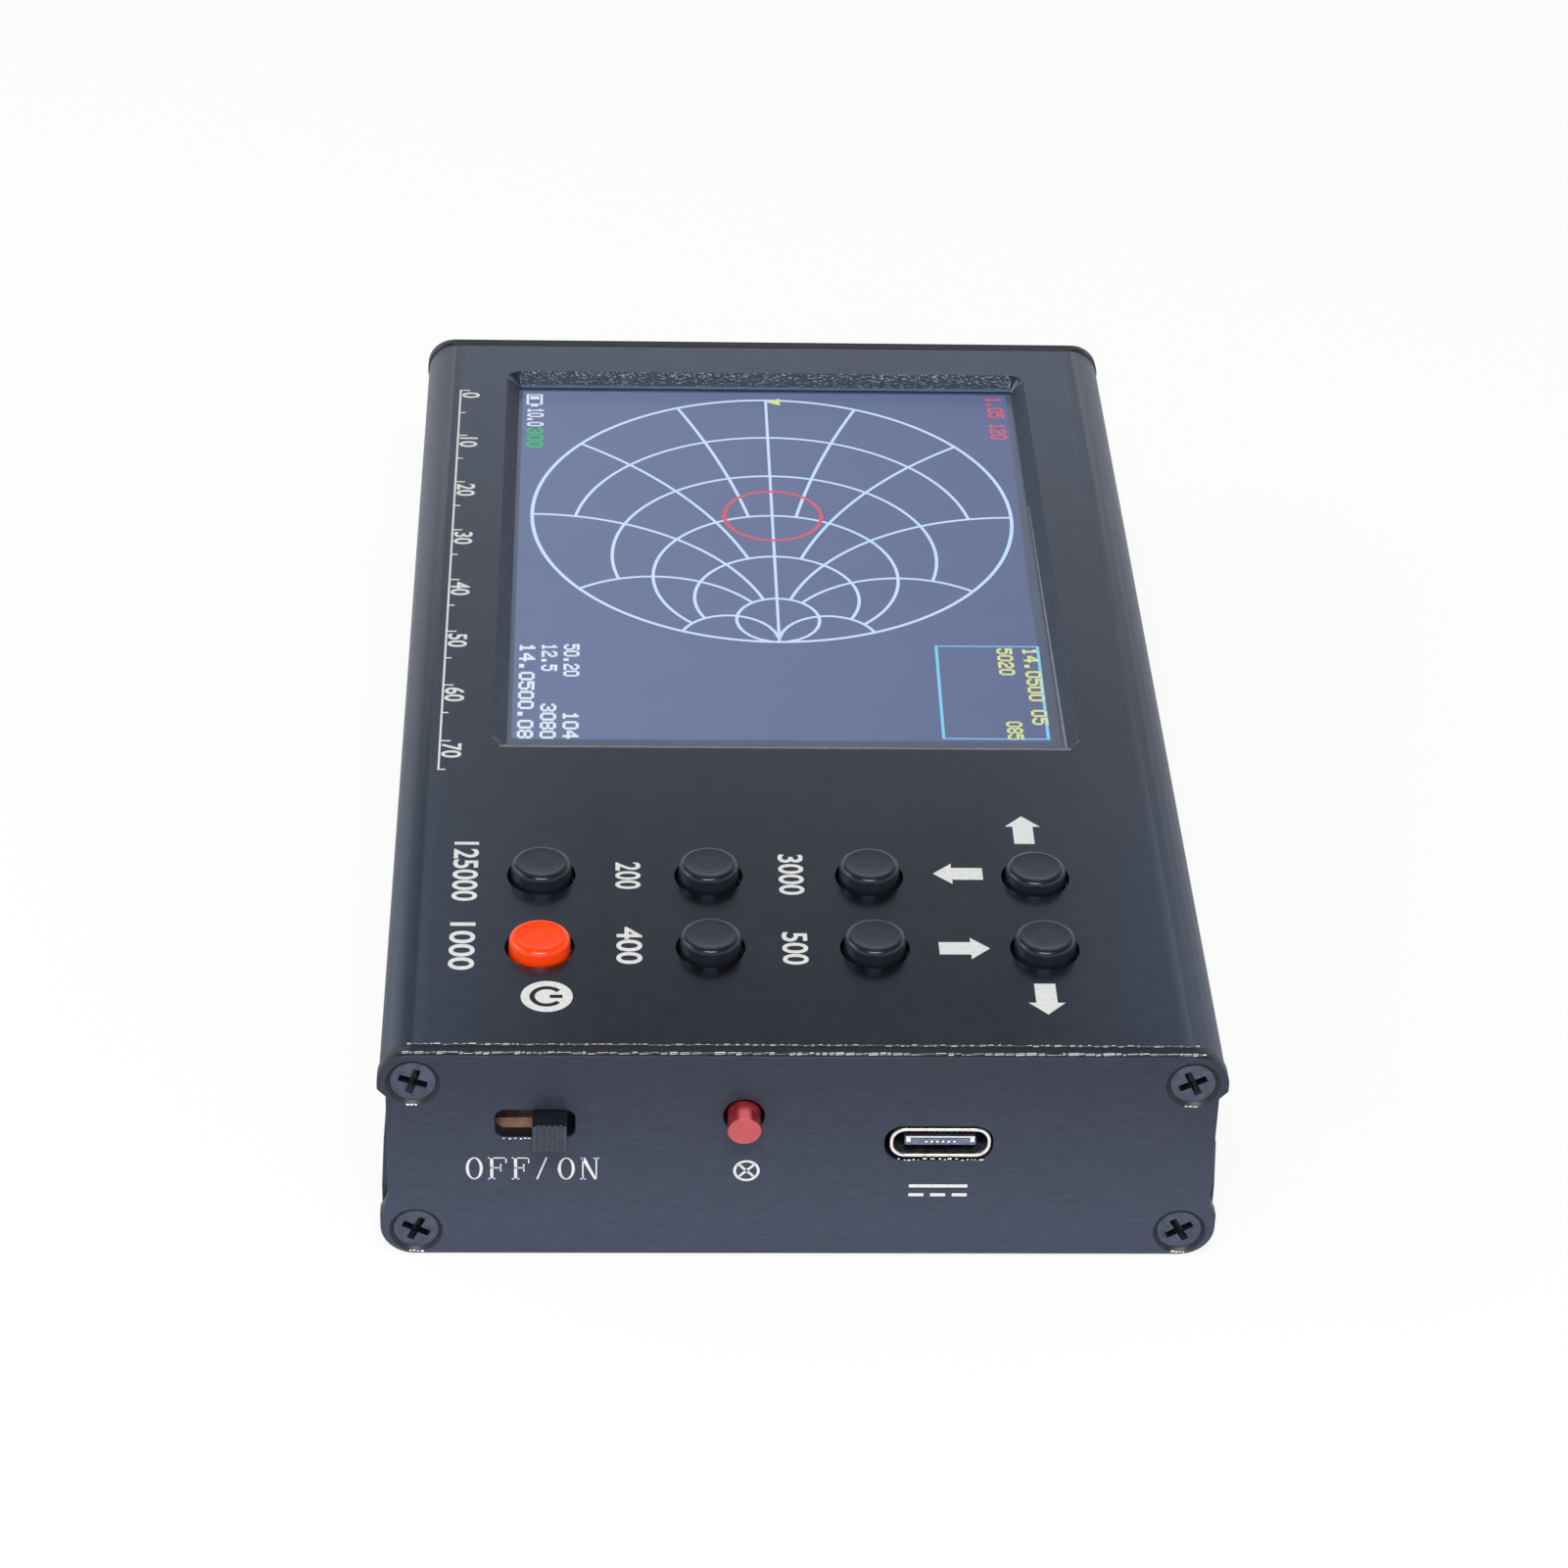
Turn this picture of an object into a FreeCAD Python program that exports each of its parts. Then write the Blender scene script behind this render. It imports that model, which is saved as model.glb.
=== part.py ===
import FreeCAD, Part
import math
import os

# Hand-held antenna analyzer: a split aluminium extrusion with two screwed-on end plates,
# a display and eight keys in the top face, and one coaxial port in the far end.
# Millimetres. The origin is the centre of the case's bottom face, +Z up, +X right.
# The end with the switch, the lamp and the charging port faces -Y.
# A name ending in _D is a distance behind the front plate's outer face.

# ---------------------------------------------------------------- driving dimensions
CASE_W = 74.2               # outside width of the extrusion
CASE_L = 132.0              # over both end plates
CASE_H = 22.0
CORNER_R = 3.0
TOP_T = 1.6
BOTTOM_T = 1.6
SIDE_T = 2.6
SEAM_OVER_BOARD = 0.7       # parting line of the two halves, over the main board
SEAM_GAP = 0.1
TONGUE_H = 1.8
TONGUE_T = 0.95
GRIP_BELOW_TOP = 4.4        # upper end of the finger recess in the sides
GRIP_DEPTH = 0.6
DRAFT_FROM = 6.4            # the lower side leans in from here up to the seam
DRAFT = 0.25

PORT_SIDE = 3.0             # screw ports, from the side faces
PORT_TOP_EDGE = 3.0         # from the top face
PORT_BOTTOM_EDGE = 2.6      # and from the bottom face
PORT_WALL = 0.75
PORT_SLIT = 1.0

PLATE_T = 1.5
PLATE_PROUD = 0.15          # the plate's corners stand out past the extrusion
PLATE_RECESS = 0.75         # its sides lie in from those corners
PLATE_CORNER_H = 3.7        # height of the wide part at the upper corners
PLATE_STEP_H = 0.8
PLATE_FOOT_H = 4.4          # height of the wide part at the lower corners
PLATE_FOOT_SLOPE = 2.4
FOOT_BEND = (0.35, 0.5)     # a point on the foot's curve, as shares of the recess and the slope
SCREW_HEAD_R = 2.05
SCREW_SHANK_R = 1.2
SCREW_HOLE_GAP = 0.15       # round the shank
SINK_GAP = 0.32             # ring seen round a screw head
SCREW_LEN = 8.0
SEAT_GAP = 0.02             # between seated faces of different pieces
CUT = 1.0                   # how far a cutting solid runs past the face it opens

ACTIVE_W = 52.56            # lit area of the display, across
ACTIVE_L = 70.08            # and along the case
ACTIVE_MID_D = 88.0
WINDOW_SIDE = 0.72          # dark border seen inside the window, each side
WINDOW_NEAR = 2.1
WINDOW_FAR = 0.3
WINDOW_BEVEL = 1.3
WINDOW_R = 0.3
LCD_W = 63.4
LCD_NEAR = 4.0              # module edge to lit area, at the flex end
LCD_FAR = 2.6
LCD_T = 3.1
LCD_WALL = 0.8
LCD_FLOOR = 0.3
LCD_GLASS_T = 1.1
LCD_GAP = 0.15              # under the top panel
PAD_T = 0.5
PAD_INSET = 3.0             # from the display module's edges
FLEX_W = 35.5
FLEX_T = 0.2
FLEX_NOTCH = 0.5            # the tray's wall is lower by this under the ribbon
FLEX_DROP = 0.05            # ribbon below the glass it is bonded to
FLEX_BEND_R = 0.8
FLEX_PLUG_L = 2.0           # straight end inside the connector
CONNECTOR_H = 1.6
CONNECTOR_RIBBON_Z = 0.9    # ribbon's upper face over the board
CONNECTOR_BACK = 1.5        # housing past the ribbon's end, and past its sides
CONNECTOR_MOUTH = 1.6       # housing over the ribbon

KEY_MID_X = -0.57
KEY_INNER_X = 7.39          # columns, from the middle of the row
KEY_OUTER_X = 22.73
KEY_ROW_NEAR_D = 16.3
KEY_ROW_PITCH = 11.3
KEY_CAP_R = 2.85
KEY_HOLE_GAP = 0.3
KEY_TAPER = 0.12
KEY_ROUND = 0.5
KEY_PROUD = 1.5
LOW_KEY_PROUD = 1.25
LOW_KEYS = ("power", "arrow_far")
KEY_TRAVEL = 0.3
KEY_SOCKET_ROOF = 1.1       # plastic left over the plunger
PLUNGER_R = 1.7
PLUNGER_FLANGE_R = 2.2
PLUNGER_FLANGE_T = 0.6
PLUNGER_NIB_R = 0.8
TACT_W = 6.0
TACT_H = 3.4
TACT_COVER_T = 0.3
TACT_FLOOR = 0.8
TACT_CAVITY_GAP = 0.2       # round the plunger's flange
DOME_T = 0.15
DOME_R = 2.1
RUN_GAP = 0.05              # round running fits, on radius
FEW_FLATS = 8               # flats on small hidden round parts
CONTACT_FLATS = 12
FINE_FLATS = 24             # on countersinks and the coaxial port's washer
CAP_FLATS = 16              # on key caps and the lamp
SCREW_FLATS = 12

BOARD_T = 1.6
BOARD_GAP = 4.15            # between the two boards, and the pillars' length
BOARD_SIDE_GAP = 0.2
BOARD_END_GAP = 0.3         # behind the plates
GUIDE_T = 1.0
GUIDE_REACH = 1.2
GUIDE_GAP = 0.05
DISPLAY_BOARD_SIDE = 1.3    # from the side walls
DISPLAY_BOARD_FRONT_D = 8.6
SPACER_SIDE = 2.8           # from the display board's sides
SPACER_NEAR_D = 11.6
SPACER_FAR_EDGE = 2.3       # from the boards' rear edge
SPACER_AF = 4.0
STUD_R = 1.0
STUD_HOLE_GAP = 0.1
NUT_T = 1.6
PAN_R = 1.85
PAN_H = 1.1
PAN_THREAD = 3.0

SWITCH_X = -23.5
SWITCH_OVER_BOARD = 3.7     # middle of the knob
KNOB_W = 3.0
KNOB_H = 2.8
KNOB_PROUD = 2.2
KNOB_TRAVEL = 2.6
KNOB_RIBS = 5
KNOB_RIB_DEPTH = 0.16
SLOT_END_GAP = 0.7
SLOT_SIDE_GAP = 0.1
SLOT_R = 0.9
ARM_W = 2.25
ARM_H = 1.3
BRIDGE_W = 3.2
BRIDGE_D = 1.6
BRIDGE_T = 0.58
SWITCH_BASE_T = 1.1
SWITCH_W = 9.4
SWITCH_DEPTH = 5.0
SWITCH_SHEET = 0.3
SWITCH_COVER_H = 3.0
SWITCH_SETBACK = 0.3        # behind the plate
SWITCH_LUG_W = 1.4          # cover's two mounting lugs
SWITCH_LUG_BACK = 1.8       # in from the switch's rear
SLIDER_LEAD = 0.3           # slider's clearance to the cover's ends at each stop

LAMP_X = -5.2
LAMP_OVER_BOARD = 4.6
LAMP_R = 1.5
LAMP_PROUD = 2.0
LAMP_HOLE_GAP = 0.3
LAMP_FLANGE_STEP = 0.45     # flange past the body's radius
LAMP_FLANGE_T = 1.0
LAMP_FLANGE_GAP = 0.2
LAMP_FLAT = 0.1             # flange's flat, past the body's radius
LEAD_PITCH = 2.54
LEAD_T = 0.5
LEAD_BACK = 2.6
LEAD_BEND_R = 0.8
LEAD_TAIL = 1.0             # leads and pins below the main board

USB_X = 12.2
USB_W = 8.94
USB_H = 3.16
USB_WALL = 0.3
USB_DEPTH = 7.3
USB_SETBACK = 0.15
USB_CUT_GAP = 0.33
USB_CUT_SHIFT = -0.15       # the cut-out's middle from the port's
USB_ROUND = 0.44            # end radius as a share of the height
TONGUE_PLATE_W = 6.3
TONGUE_PLATE_T = 0.7
TONGUE_PLATE_L = 4.45
TONGUE_PLATE_R = 0.2
TONGUE_SETBACK = 0.2        # inside the shell's mouth
USB_CONTACTS = 12
USB_CONTACT_PITCH = 0.5
USB_CONTACT_W = 0.25
USB_CONTACT_T = 0.05
USB_CONTACT_SETBACK = 0.6   # behind the tongue's tip

SMA_X = 0.0
SMA_R = 3.175               # 1/4-36 thread, over its crests
SMA_PITCH_R = 2.95          # and at its pitch line, where the nut has run onto it
SMA_FREE = 7.6              # barrel left outside the nut
SMA_RELIEF = 0.3            # groove between the nut and the free thread
SMA_CHAMFER = 0.25
SMA_FLANGE = 8.0
SMA_FLANGE_T = 1.8
SMA_MOUTH_R = 2.3
SMA_MOUTH_DEPTH = 1.95
SMA_DIELECTRIC_R = 2.05
SMA_CONTACT_R = 0.635
SMA_SOCKET_R = 0.47
SMA_SOCKET_DEPTH = 2.6
SMA_LEG = 1.2
SMA_LEG_X = 2.8
SMA_LEG_L = 4.2
SMA_TAIL = 0.9              # width and height of the centre contact's tail
SMA_TAIL_L = 2.5
SMA_NUT_AF = 8.0
SMA_NUT_T = 2.0
SMA_WASHER_R = 4.6
SMA_WASHER_T = 0.5
SMA_HOLE_GAP = 0.125

SHIELD_W = 30.0
SHIELD_L = 26.0
SHIELD_H = 3.0
SHIELD_SHEET = 0.3
SHIELD_FAR_D = 121.0

# middle across, middle from the front, width, length, height
CHIPS = {
    "processor": (-12.0, 64.0, 12.0, 12.0, 1.4),
    "memory": (8.0, 62.0, 5.0, 6.0, 1.2),
    "charger": (14.0, 18.0, 4.0, 4.0, 0.9),
    "coil": (22.0, 20.0, 5.0, 5.0, 2.4),
    "synthesizer": (-6.0, 107.0, 5.0, 5.0, 0.9),
    "mixer": (6.0, 109.0, 4.0, 4.0, 0.9),
}
CHIP_BEVEL = 0.15           # share of the height

HEADER_PINS = 10
HEADER_PITCH = 2.54
HEADER_DEPTH = 2.4
HEADER_Y_D = 42.0
HEADER_PIN = 0.4

CELL_W = 50.0
CELL_L = 72.0
CELL_T = 5.4
CELL_R = 2.2
CELL_MID_D = 72.0
CELL_PAD_T = 0.5
TAB_W = 4.0
TAB_T = 0.2
TAB_X = 8.0
TAB_REACH = 3.0
CELL_PAD_INSET = 3.2        # from the cell's edges

# ---------------------------------------------------------------- derived places
HALF_W = CASE_W / 2
FRONT = -CASE_L / 2                      # front plate's outer face
REAR = CASE_L / 2
SHELL_FRONT = FRONT + PLATE_T
SHELL_REAR = REAR - PLATE_T
INNER_X = HALF_W - SIDE_T
PANEL_Z = CASE_H - TOP_T                 # underside of the top panel
GRIP_TOP = CASE_H - GRIP_BELOW_TOP

PORT_X = HALF_W - PORT_SIDE
PORT_Z_LOW = PORT_BOTTOM_EDGE
PORT_Z_HIGH = CASE_H - PORT_TOP_EDGE
PORTS = [(sx * PORT_X, z) for z in (PORT_Z_LOW, PORT_Z_HIGH) for sx in (-1, 1)]
PORT_BORE_R = SCREW_SHANK_R + RUN_GAP
PORT_WALL_R = PORT_BORE_R + PORT_WALL
SCREW_HOLE_R = SCREW_SHANK_R + SCREW_HOLE_GAP
SINK_R = SCREW_HEAD_R + SINK_GAP
BOARD_FRONT = SHELL_FRONT + BOARD_END_GAP
BOARD_REAR = SHELL_REAR - BOARD_END_GAP

ACTIVE_NEAR = FRONT + ACTIVE_MID_D - ACTIVE_L / 2
ACTIVE_FAR = ACTIVE_NEAR + ACTIVE_L
WINDOW_HALF_X = ACTIVE_W / 2 + WINDOW_SIDE
WINDOW_Y0 = ACTIVE_NEAR - WINDOW_NEAR
WINDOW_Y1 = ACTIVE_FAR + WINDOW_FAR
LCD_TOP = PANEL_Z - LCD_GAP
LCD_Z = LCD_TOP - LCD_T
LCD_Y0 = ACTIVE_NEAR - LCD_NEAR
LCD_Y1 = ACTIVE_FAR + LCD_FAR
GLASS_UNDER = LCD_TOP - LCD_GLASS_T
DISPLAY_BOARD_TOP = LCD_Z - PAD_T
RIBBON_HIGH = GLASS_UNDER - FLEX_DROP
RIBBON_LOW = DISPLAY_BOARD_TOP + CONNECTOR_RIBBON_Z
DISPLAY_BOARD_UNDER = DISPLAY_BOARD_TOP - BOARD_T
DISPLAY_BOARD_HALF_W = INNER_X - DISPLAY_BOARD_SIDE

BOARD_TOP = DISPLAY_BOARD_UNDER - BOARD_GAP
BOARD_UNDER = BOARD_TOP - BOARD_T
BOARD_HALF_W = INNER_X - BOARD_SIDE_GAP
BOARD_HOLE_R = STUD_R + STUD_HOLE_GAP
SPACER_X = DISPLAY_BOARD_HALF_W - SPACER_SIDE
SPACERS = [(sx * SPACER_X, y) for y in (FRONT + SPACER_NEAR_D, BOARD_REAR - SPACER_FAR_EDGE)
           for sx in (-1, 1)]

SEAM_Z = BOARD_TOP + SEAM_OVER_BOARD
TONGUE_TOP = SEAM_Z + TONGUE_H
TONGUE_OUT = INNER_X + TONGUE_T
LIP_IN = TONGUE_OUT + SEAM_GAP

KEY_HOLE_R = KEY_CAP_R + KEY_HOLE_GAP
KEY_X = [KEY_MID_X + x for x in (-KEY_OUTER_X, -KEY_INNER_X, KEY_INNER_X, KEY_OUTER_X)]
KEY_Y_NEAR = FRONT + KEY_ROW_NEAR_D
KEY_Y_FAR = KEY_Y_NEAR + KEY_ROW_PITCH
KEYS = {
    "power": (KEY_X[0], KEY_Y_NEAR),
    "four": (KEY_X[1], KEY_Y_NEAR),
    "five": (KEY_X[2], KEY_Y_NEAR),
    "arrow_near": (KEY_X[3], KEY_Y_NEAR),
    "one": (KEY_X[0], KEY_Y_FAR),
    "two": (KEY_X[1], KEY_Y_FAR),
    "three": (KEY_X[2], KEY_Y_FAR),
    "arrow_far": (KEY_X[3], KEY_Y_FAR),
}
KEY_TOP = {name: CASE_H + (LOW_KEY_PROUD if name in LOW_KEYS else KEY_PROUD) for name in KEYS}
TACT_TOP = DISPLAY_BOARD_TOP + TACT_H
TACT_COVER_Z = TACT_TOP - TACT_COVER_T
TACT_CAVITY_Z = DISPLAY_BOARD_TOP + TACT_FLOOR
TACT_CAVITY_R = PLUNGER_FLANGE_R + TACT_CAVITY_GAP
DOME_TOP = TACT_CAVITY_Z + DOME_T
NIB_Z = DOME_TOP + RUN_GAP + KEY_TRAVEL
KEY_UNDER = TACT_TOP + KEY_TRAVEL + RUN_GAP

SWITCH_Z = BOARD_TOP + SWITCH_OVER_BOARD
SWITCH_Y = SHELL_FRONT + SWITCH_SETBACK
SLOT_W = KNOB_W + KNOB_TRAVEL + 2 * SLOT_END_GAP
SLOT_H = KNOB_H + 2 * SLOT_SIDE_GAP
KNOB_X = SWITCH_X + KNOB_TRAVEL / 2      # at rest the knob is at the right, switched on
ARM_Z = SWITCH_Z - ARM_H / 2
SWITCH_BASE_TOP = ARM_Z - RUN_GAP

LAMP_Z = BOARD_TOP + LAMP_OVER_BOARD
LAMP_HOLE_R = LAMP_R + LAMP_HOLE_GAP
LAMP_FLANGE_R = LAMP_R + LAMP_FLANGE_STEP

USB_Z = BOARD_TOP + USB_H / 2
USB_Y = FRONT + USB_SETBACK
SMA_Z = BOARD_TOP - BOARD_T / 2
SMA_HOLE_R = SMA_R + SMA_HOLE_GAP
SMA_END = REAR + SMA_WASHER_T + SMA_NUT_T + SMA_FREE
SMA_INNER = SHELL_REAR - SMA_FLANGE_T


# ---------------------------------------------------------------- shape helpers
def box(x0, x1, y0, y1, z0, z1):
    return Part.makeBox(x1 - x0, y1 - y0, z1 - z0, FreeCAD.Vector(x0, y0, z0))


def cylinder_z(x, y, z0, z1, radius):
    return Part.makeCylinder(radius, z1 - z0, FreeCAD.Vector(x, y, z0), FreeCAD.Vector(0, 0, 1))


def cylinder_y(x, z, y0, y1, radius):
    return Part.makeCylinder(radius, y1 - y0, FreeCAD.Vector(x, y0, z), FreeCAD.Vector(0, 1, 0))


def polygon_face(corners):
    return Part.Face(Part.makePolygon(corners + corners[:1]))


def flat_turned_z(x, y, section, sides=FEW_FLATS):
    """Upright part turned from a list of (radius, z) from the foot up, with flat sides."""
    rings = []
    for radius, z in section:
        angles = [2 * math.pi * i / sides for i in range(sides)]
        rings.append([FreeCAD.Vector(x + radius * math.cos(a), y + radius * math.sin(a), z)
                      for a in angles])
    faces = [polygon_face(rings[0]), polygon_face(rings[-1])]
    for low, high in zip(rings, rings[1:]):
        for i in range(sides):
            j = (i + 1) % sides
            faces.append(polygon_face([low[i], low[j], high[j], high[i]]))
    return Part.makeSolid(Part.Shell(faces)).removeSplitter()


def flat_turned_y(x, z, section, sides=FEW_FLATS):
    """The same along Y, from a list of (radius, y)."""
    bar = flat_turned_z(0, 0, section, sides)
    bar.rotate(FreeCAD.Vector(0, 0, 0), FreeCAD.Vector(1, 0, 0), -90)
    bar.translate(FreeCAD.Vector(x, 0, z))
    return bar


def flat_bar_z(x, y, z0, z1, radius, sides=FEW_FLATS):
    return flat_turned_z(x, y, [(radius, z0), (radius, z1)], sides)


def flat_bar_y(x, z, y0, y1, radius, sides=FEW_FLATS):
    return flat_turned_y(x, z, [(radius, y0), (radius, y1)], sides)


def over_flats(radius, sides):
    """Corner radius of a hole whose flats, not its corners, lie on this radius."""
    return radius / math.cos(math.pi / sides)


def flat_hole_z(x, y, z0, z1, radius, sides=FEW_FLATS):
    return flat_bar_z(x, y, z0, z1, over_flats(radius, sides), sides)


def at_xz(x, z, y):
    return FreeCAD.Vector(x, y, z)


def profile_xz(y0, y1, points):
    """Solid whose section in XZ has these corners; a corner (x, z, mx, mz) is reached by an
    arc through (mx, mz)."""
    edges = []
    last = points[-1][:2]
    for point in points:
        here = at_xz(*last, y0)
        there = at_xz(*point[:2], y0)
        if len(point) == 4:
            edges.append(Part.Arc(here, at_xz(*point[2:], y0), there).toShape())
        else:
            edges.append(Part.makeLine(here, there))
        last = point[:2]
    return Part.Face(Part.Wire(edges)).extrude(FreeCAD.Vector(0, y1 - y0, 0))


def both_sides(half):
    """A right half joined to its mirror image across the YZ plane."""
    other = half.mirror(FreeCAD.Vector(0, 0, 0), FreeCAD.Vector(1, 0, 0))
    return half.fuse(other).removeSplitter()


def rounded_xy(x0, x1, y0, y1, z, radius):
    """Rounded rectangle as a wire in a level plane."""
    flat = box(x0, x1, y0, y1, z, z + 1)
    uprights = [e for e in flat.Edges if abs(e.Vertexes[0].Z - e.Vertexes[1].Z) > 0.5]
    solid = flat.makeFillet(radius, uprights)
    return min(solid.Faces, key=lambda f: f.CenterOfMass.z).OuterWire


def rounded_bar_y(x, z, width, height, radius, y0, y1):
    """Bar along Y with a rounded rectangular section."""
    bar = box(x - width / 2, x + width / 2, y0, y1, z - height / 2, z + height / 2)
    corners = [e for e in bar.Edges if abs(e.Vertexes[0].Y - e.Vertexes[1].Y) > (y1 - y0) / 2]
    return bar.makeFillet(radius, corners)


def hexagon_prism(centre, axis, across_flats, length):
    """Hexagonal bar along Y or Z."""
    radius = across_flats / math.sqrt(3)
    points = []
    for i in range(7):
        angle = math.radians(60 * i + 30)
        a = radius * math.cos(angle)
        b = radius * math.sin(angle)
        side = FreeCAD.Vector(a, b, 0) if axis.z else FreeCAD.Vector(a, 0, b)
        points.append(centre + side)
    return Part.Face(Part.makePolygon(points)).extrude(axis * length)


# ---------------------------------------------------------------- case
def top_corner(x, z):
    """Arc from the top face down to the side, about its centre (x, z)."""
    half = CORNER_R * math.sqrt(0.5)
    return (x + CORNER_R, z, x + half, z + half)


def bottom_corner(x):
    """Arc from the side down to the bottom face, about its centre's x."""
    half = CORNER_R * math.sqrt(0.5)
    return (x, 0, x + half, CORNER_R - half)


def screw_port(x, z, y0, y1):
    """Round boss that the plate screw cuts into, as drawn along the whole extrusion."""
    return cylinder_y(x, z, y0, y1, PORT_WALL_R)


def port_opening(x, z, y0, y1):
    """The port's bore, and the slit that opens it towards the inside."""
    bore = cylinder_y(x, z, y0, y1, PORT_BORE_R)
    slit = box(x - PORT_WALL_R - CUT, x, y0, y1, z - PORT_SLIT / 2, z + PORT_SLIT / 2)
    if x < 0:
        slit = slit.mirror(FreeCAD.Vector(x, 0, 0), FreeCAD.Vector(1, 0, 0))
    return bore.fuse(slit)


def half_case(points, port_z):
    half = profile_xz(SHELL_FRONT, SHELL_REAR, points)
    half = half.fuse(screw_port(PORT_X, port_z, SHELL_FRONT, SHELL_REAR))
    half = half.cut(port_opening(PORT_X, port_z, SHELL_FRONT, SHELL_REAR))
    return both_sides(half)


def top_shell():
    arc_x = HALF_W - CORNER_R
    grip_x = HALF_W - GRIP_DEPTH
    points = [
        (0, CASE_H),
        (arc_x, CASE_H),
        top_corner(arc_x, CASE_H - CORNER_R),
        (HALF_W, GRIP_TOP),
        (grip_x, GRIP_TOP - GRIP_DEPTH / 2),
        (grip_x, SEAM_Z + SEAM_GAP),
        (LIP_IN, SEAM_Z + SEAM_GAP),
        (LIP_IN, TONGUE_TOP + SEAM_GAP),
        (INNER_X, TONGUE_TOP + SEAM_GAP),
        (INNER_X, PANEL_Z),
        (0, PANEL_Z),
    ]
    shell = half_case(points, PORT_Z_HIGH)
    for x, y in KEYS.values():
        shell = shell.cut(cylinder_z(x, y, PANEL_Z - CUT, CASE_H + CUT, KEY_HOLE_R))
    return shell.cut(window_opening())


def window_opening():
    """Straight land below, with a bevel that widens to the top face."""
    bevel_z = CASE_H - WINDOW_BEVEL
    inner = rounded_xy(-WINDOW_HALF_X, WINDOW_HALF_X, WINDOW_Y0, WINDOW_Y1, PANEL_Z - CUT, WINDOW_R)
    land = Part.Face(inner).extrude(FreeCAD.Vector(0, 0, TOP_T + 2 * CUT))
    low = rounded_xy(-WINDOW_HALF_X, WINDOW_HALF_X, WINDOW_Y0, WINDOW_Y1, bevel_z, WINDOW_R)
    grow = WINDOW_BEVEL
    high = rounded_xy(-WINDOW_HALF_X - grow, WINDOW_HALF_X + grow, WINDOW_Y0 - grow, WINDOW_Y1 + grow,
                      CASE_H, WINDOW_R + grow)
    return land.fuse(Part.makeLoft([low, high], True, True))


def bottom_shell():
    arc_x = HALF_W - CORNER_R
    guide_x = INNER_X - GUIDE_REACH
    slot_low = BOARD_UNDER - GUIDE_GAP
    slot_high = BOARD_TOP + GUIDE_GAP
    points = [
        (0, BOTTOM_T),
        (INNER_X, BOTTOM_T),
        (INNER_X, slot_low - GUIDE_T),
        (guide_x, slot_low - GUIDE_T),
        (guide_x, slot_low),
        (INNER_X, slot_low),
        (INNER_X, slot_high),
        (guide_x, slot_high),
        (guide_x, slot_high + GUIDE_T),
        (INNER_X, slot_high + GUIDE_T),
        (INNER_X, TONGUE_TOP),
        (TONGUE_OUT, TONGUE_TOP),
        (TONGUE_OUT, SEAM_Z),
        (HALF_W - DRAFT, SEAM_Z),
        (HALF_W, DRAFT_FROM),
        (HALF_W, CORNER_R),
        bottom_corner(arc_x),
        (0, 0),
    ]
    return half_case(points, PORT_Z_LOW)


def blank_plate(y0, y1):
    """End plate outline: wide at the four screws, drawn in along the sides."""
    wide = HALF_W + PLATE_PROUD
    narrow = wide - PLATE_RECESS
    arc_x = wide - CORNER_R
    step_z = CASE_H - PLATE_CORNER_H
    bend_x, bend_z = FOOT_BEND
    points = [
        (0, CASE_H),
        (arc_x, CASE_H),
        top_corner(arc_x, CASE_H - CORNER_R),
        (wide, step_z),
        (narrow, step_z - PLATE_STEP_H),
        (narrow, PLATE_FOOT_H + PLATE_FOOT_SLOPE),
        (wide, PLATE_FOOT_H, narrow + bend_x * PLATE_RECESS, PLATE_FOOT_H + bend_z * PLATE_FOOT_SLOPE),
        (wide, CORNER_R),
        bottom_corner(arc_x),
        (0, 0),
    ]
    return both_sides(profile_xz(y0, y1, points))


def sunk_hole(x, z, face_y, inward):
    """Screw hole with its countersink; inward is +1 for the front plate, -1 for the rear."""
    neck_y = face_y + inward * (SINK_R - SCREW_HOLE_R)
    back_y = face_y + inward * PLATE_T
    section = [(SINK_R, face_y), (SCREW_HOLE_R, neck_y), (SCREW_HOLE_R, back_y)]
    return flat_turned_y(x, z, section[::inward], FINE_FLATS)


def front_end_plate():
    plate = blank_plate(FRONT, SHELL_FRONT)
    for x, z in PORTS:
        plate = plate.cut(sunk_hole(x, z, FRONT, 1))
    slot = rounded_bar_y(SWITCH_X, SWITCH_Z, SLOT_W, SLOT_H, SLOT_R, FRONT - CUT, SHELL_FRONT + CUT)
    lamp_hole = cylinder_y(LAMP_X, LAMP_Z, FRONT - CUT, SHELL_FRONT + CUT, LAMP_HOLE_R)
    usb_cut = usb_bar(USB_CUT_GAP, FRONT - CUT, SHELL_FRONT + CUT)
    usb_cut.translate(FreeCAD.Vector(USB_CUT_SHIFT, 0, 0))
    return plate.cut(slot).cut(lamp_hole).cut(usb_cut)


def rear_end_plate():
    plate = blank_plate(SHELL_REAR, REAR)
    for x, z in PORTS:
        plate = plate.cut(sunk_hole(x, z, REAR, -1))
    return plate.cut(cylinder_y(SMA_X, SMA_Z, SHELL_REAR - CUT, REAR + CUT, SMA_HOLE_R))


def plate_screw(x, z, face_y, inward):
    """Countersunk screw, its head a little below the plate's face."""
    sunk = SINK_R - SCREW_HEAD_R - SEAT_GAP
    head_y = face_y + inward * sunk
    neck_y = head_y + inward * (SCREW_HEAD_R - SCREW_SHANK_R)
    tip_y = head_y + inward * SCREW_LEN
    section = [(SCREW_HEAD_R, head_y), (SCREW_SHANK_R, neck_y), (SCREW_SHANK_R, tip_y)]
    return flat_turned_y(x, z, section[::inward], SCREW_FLATS)


def front_plate_screws():
    return [plate_screw(x, z, FRONT, 1) for x, z in PORTS]


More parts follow.
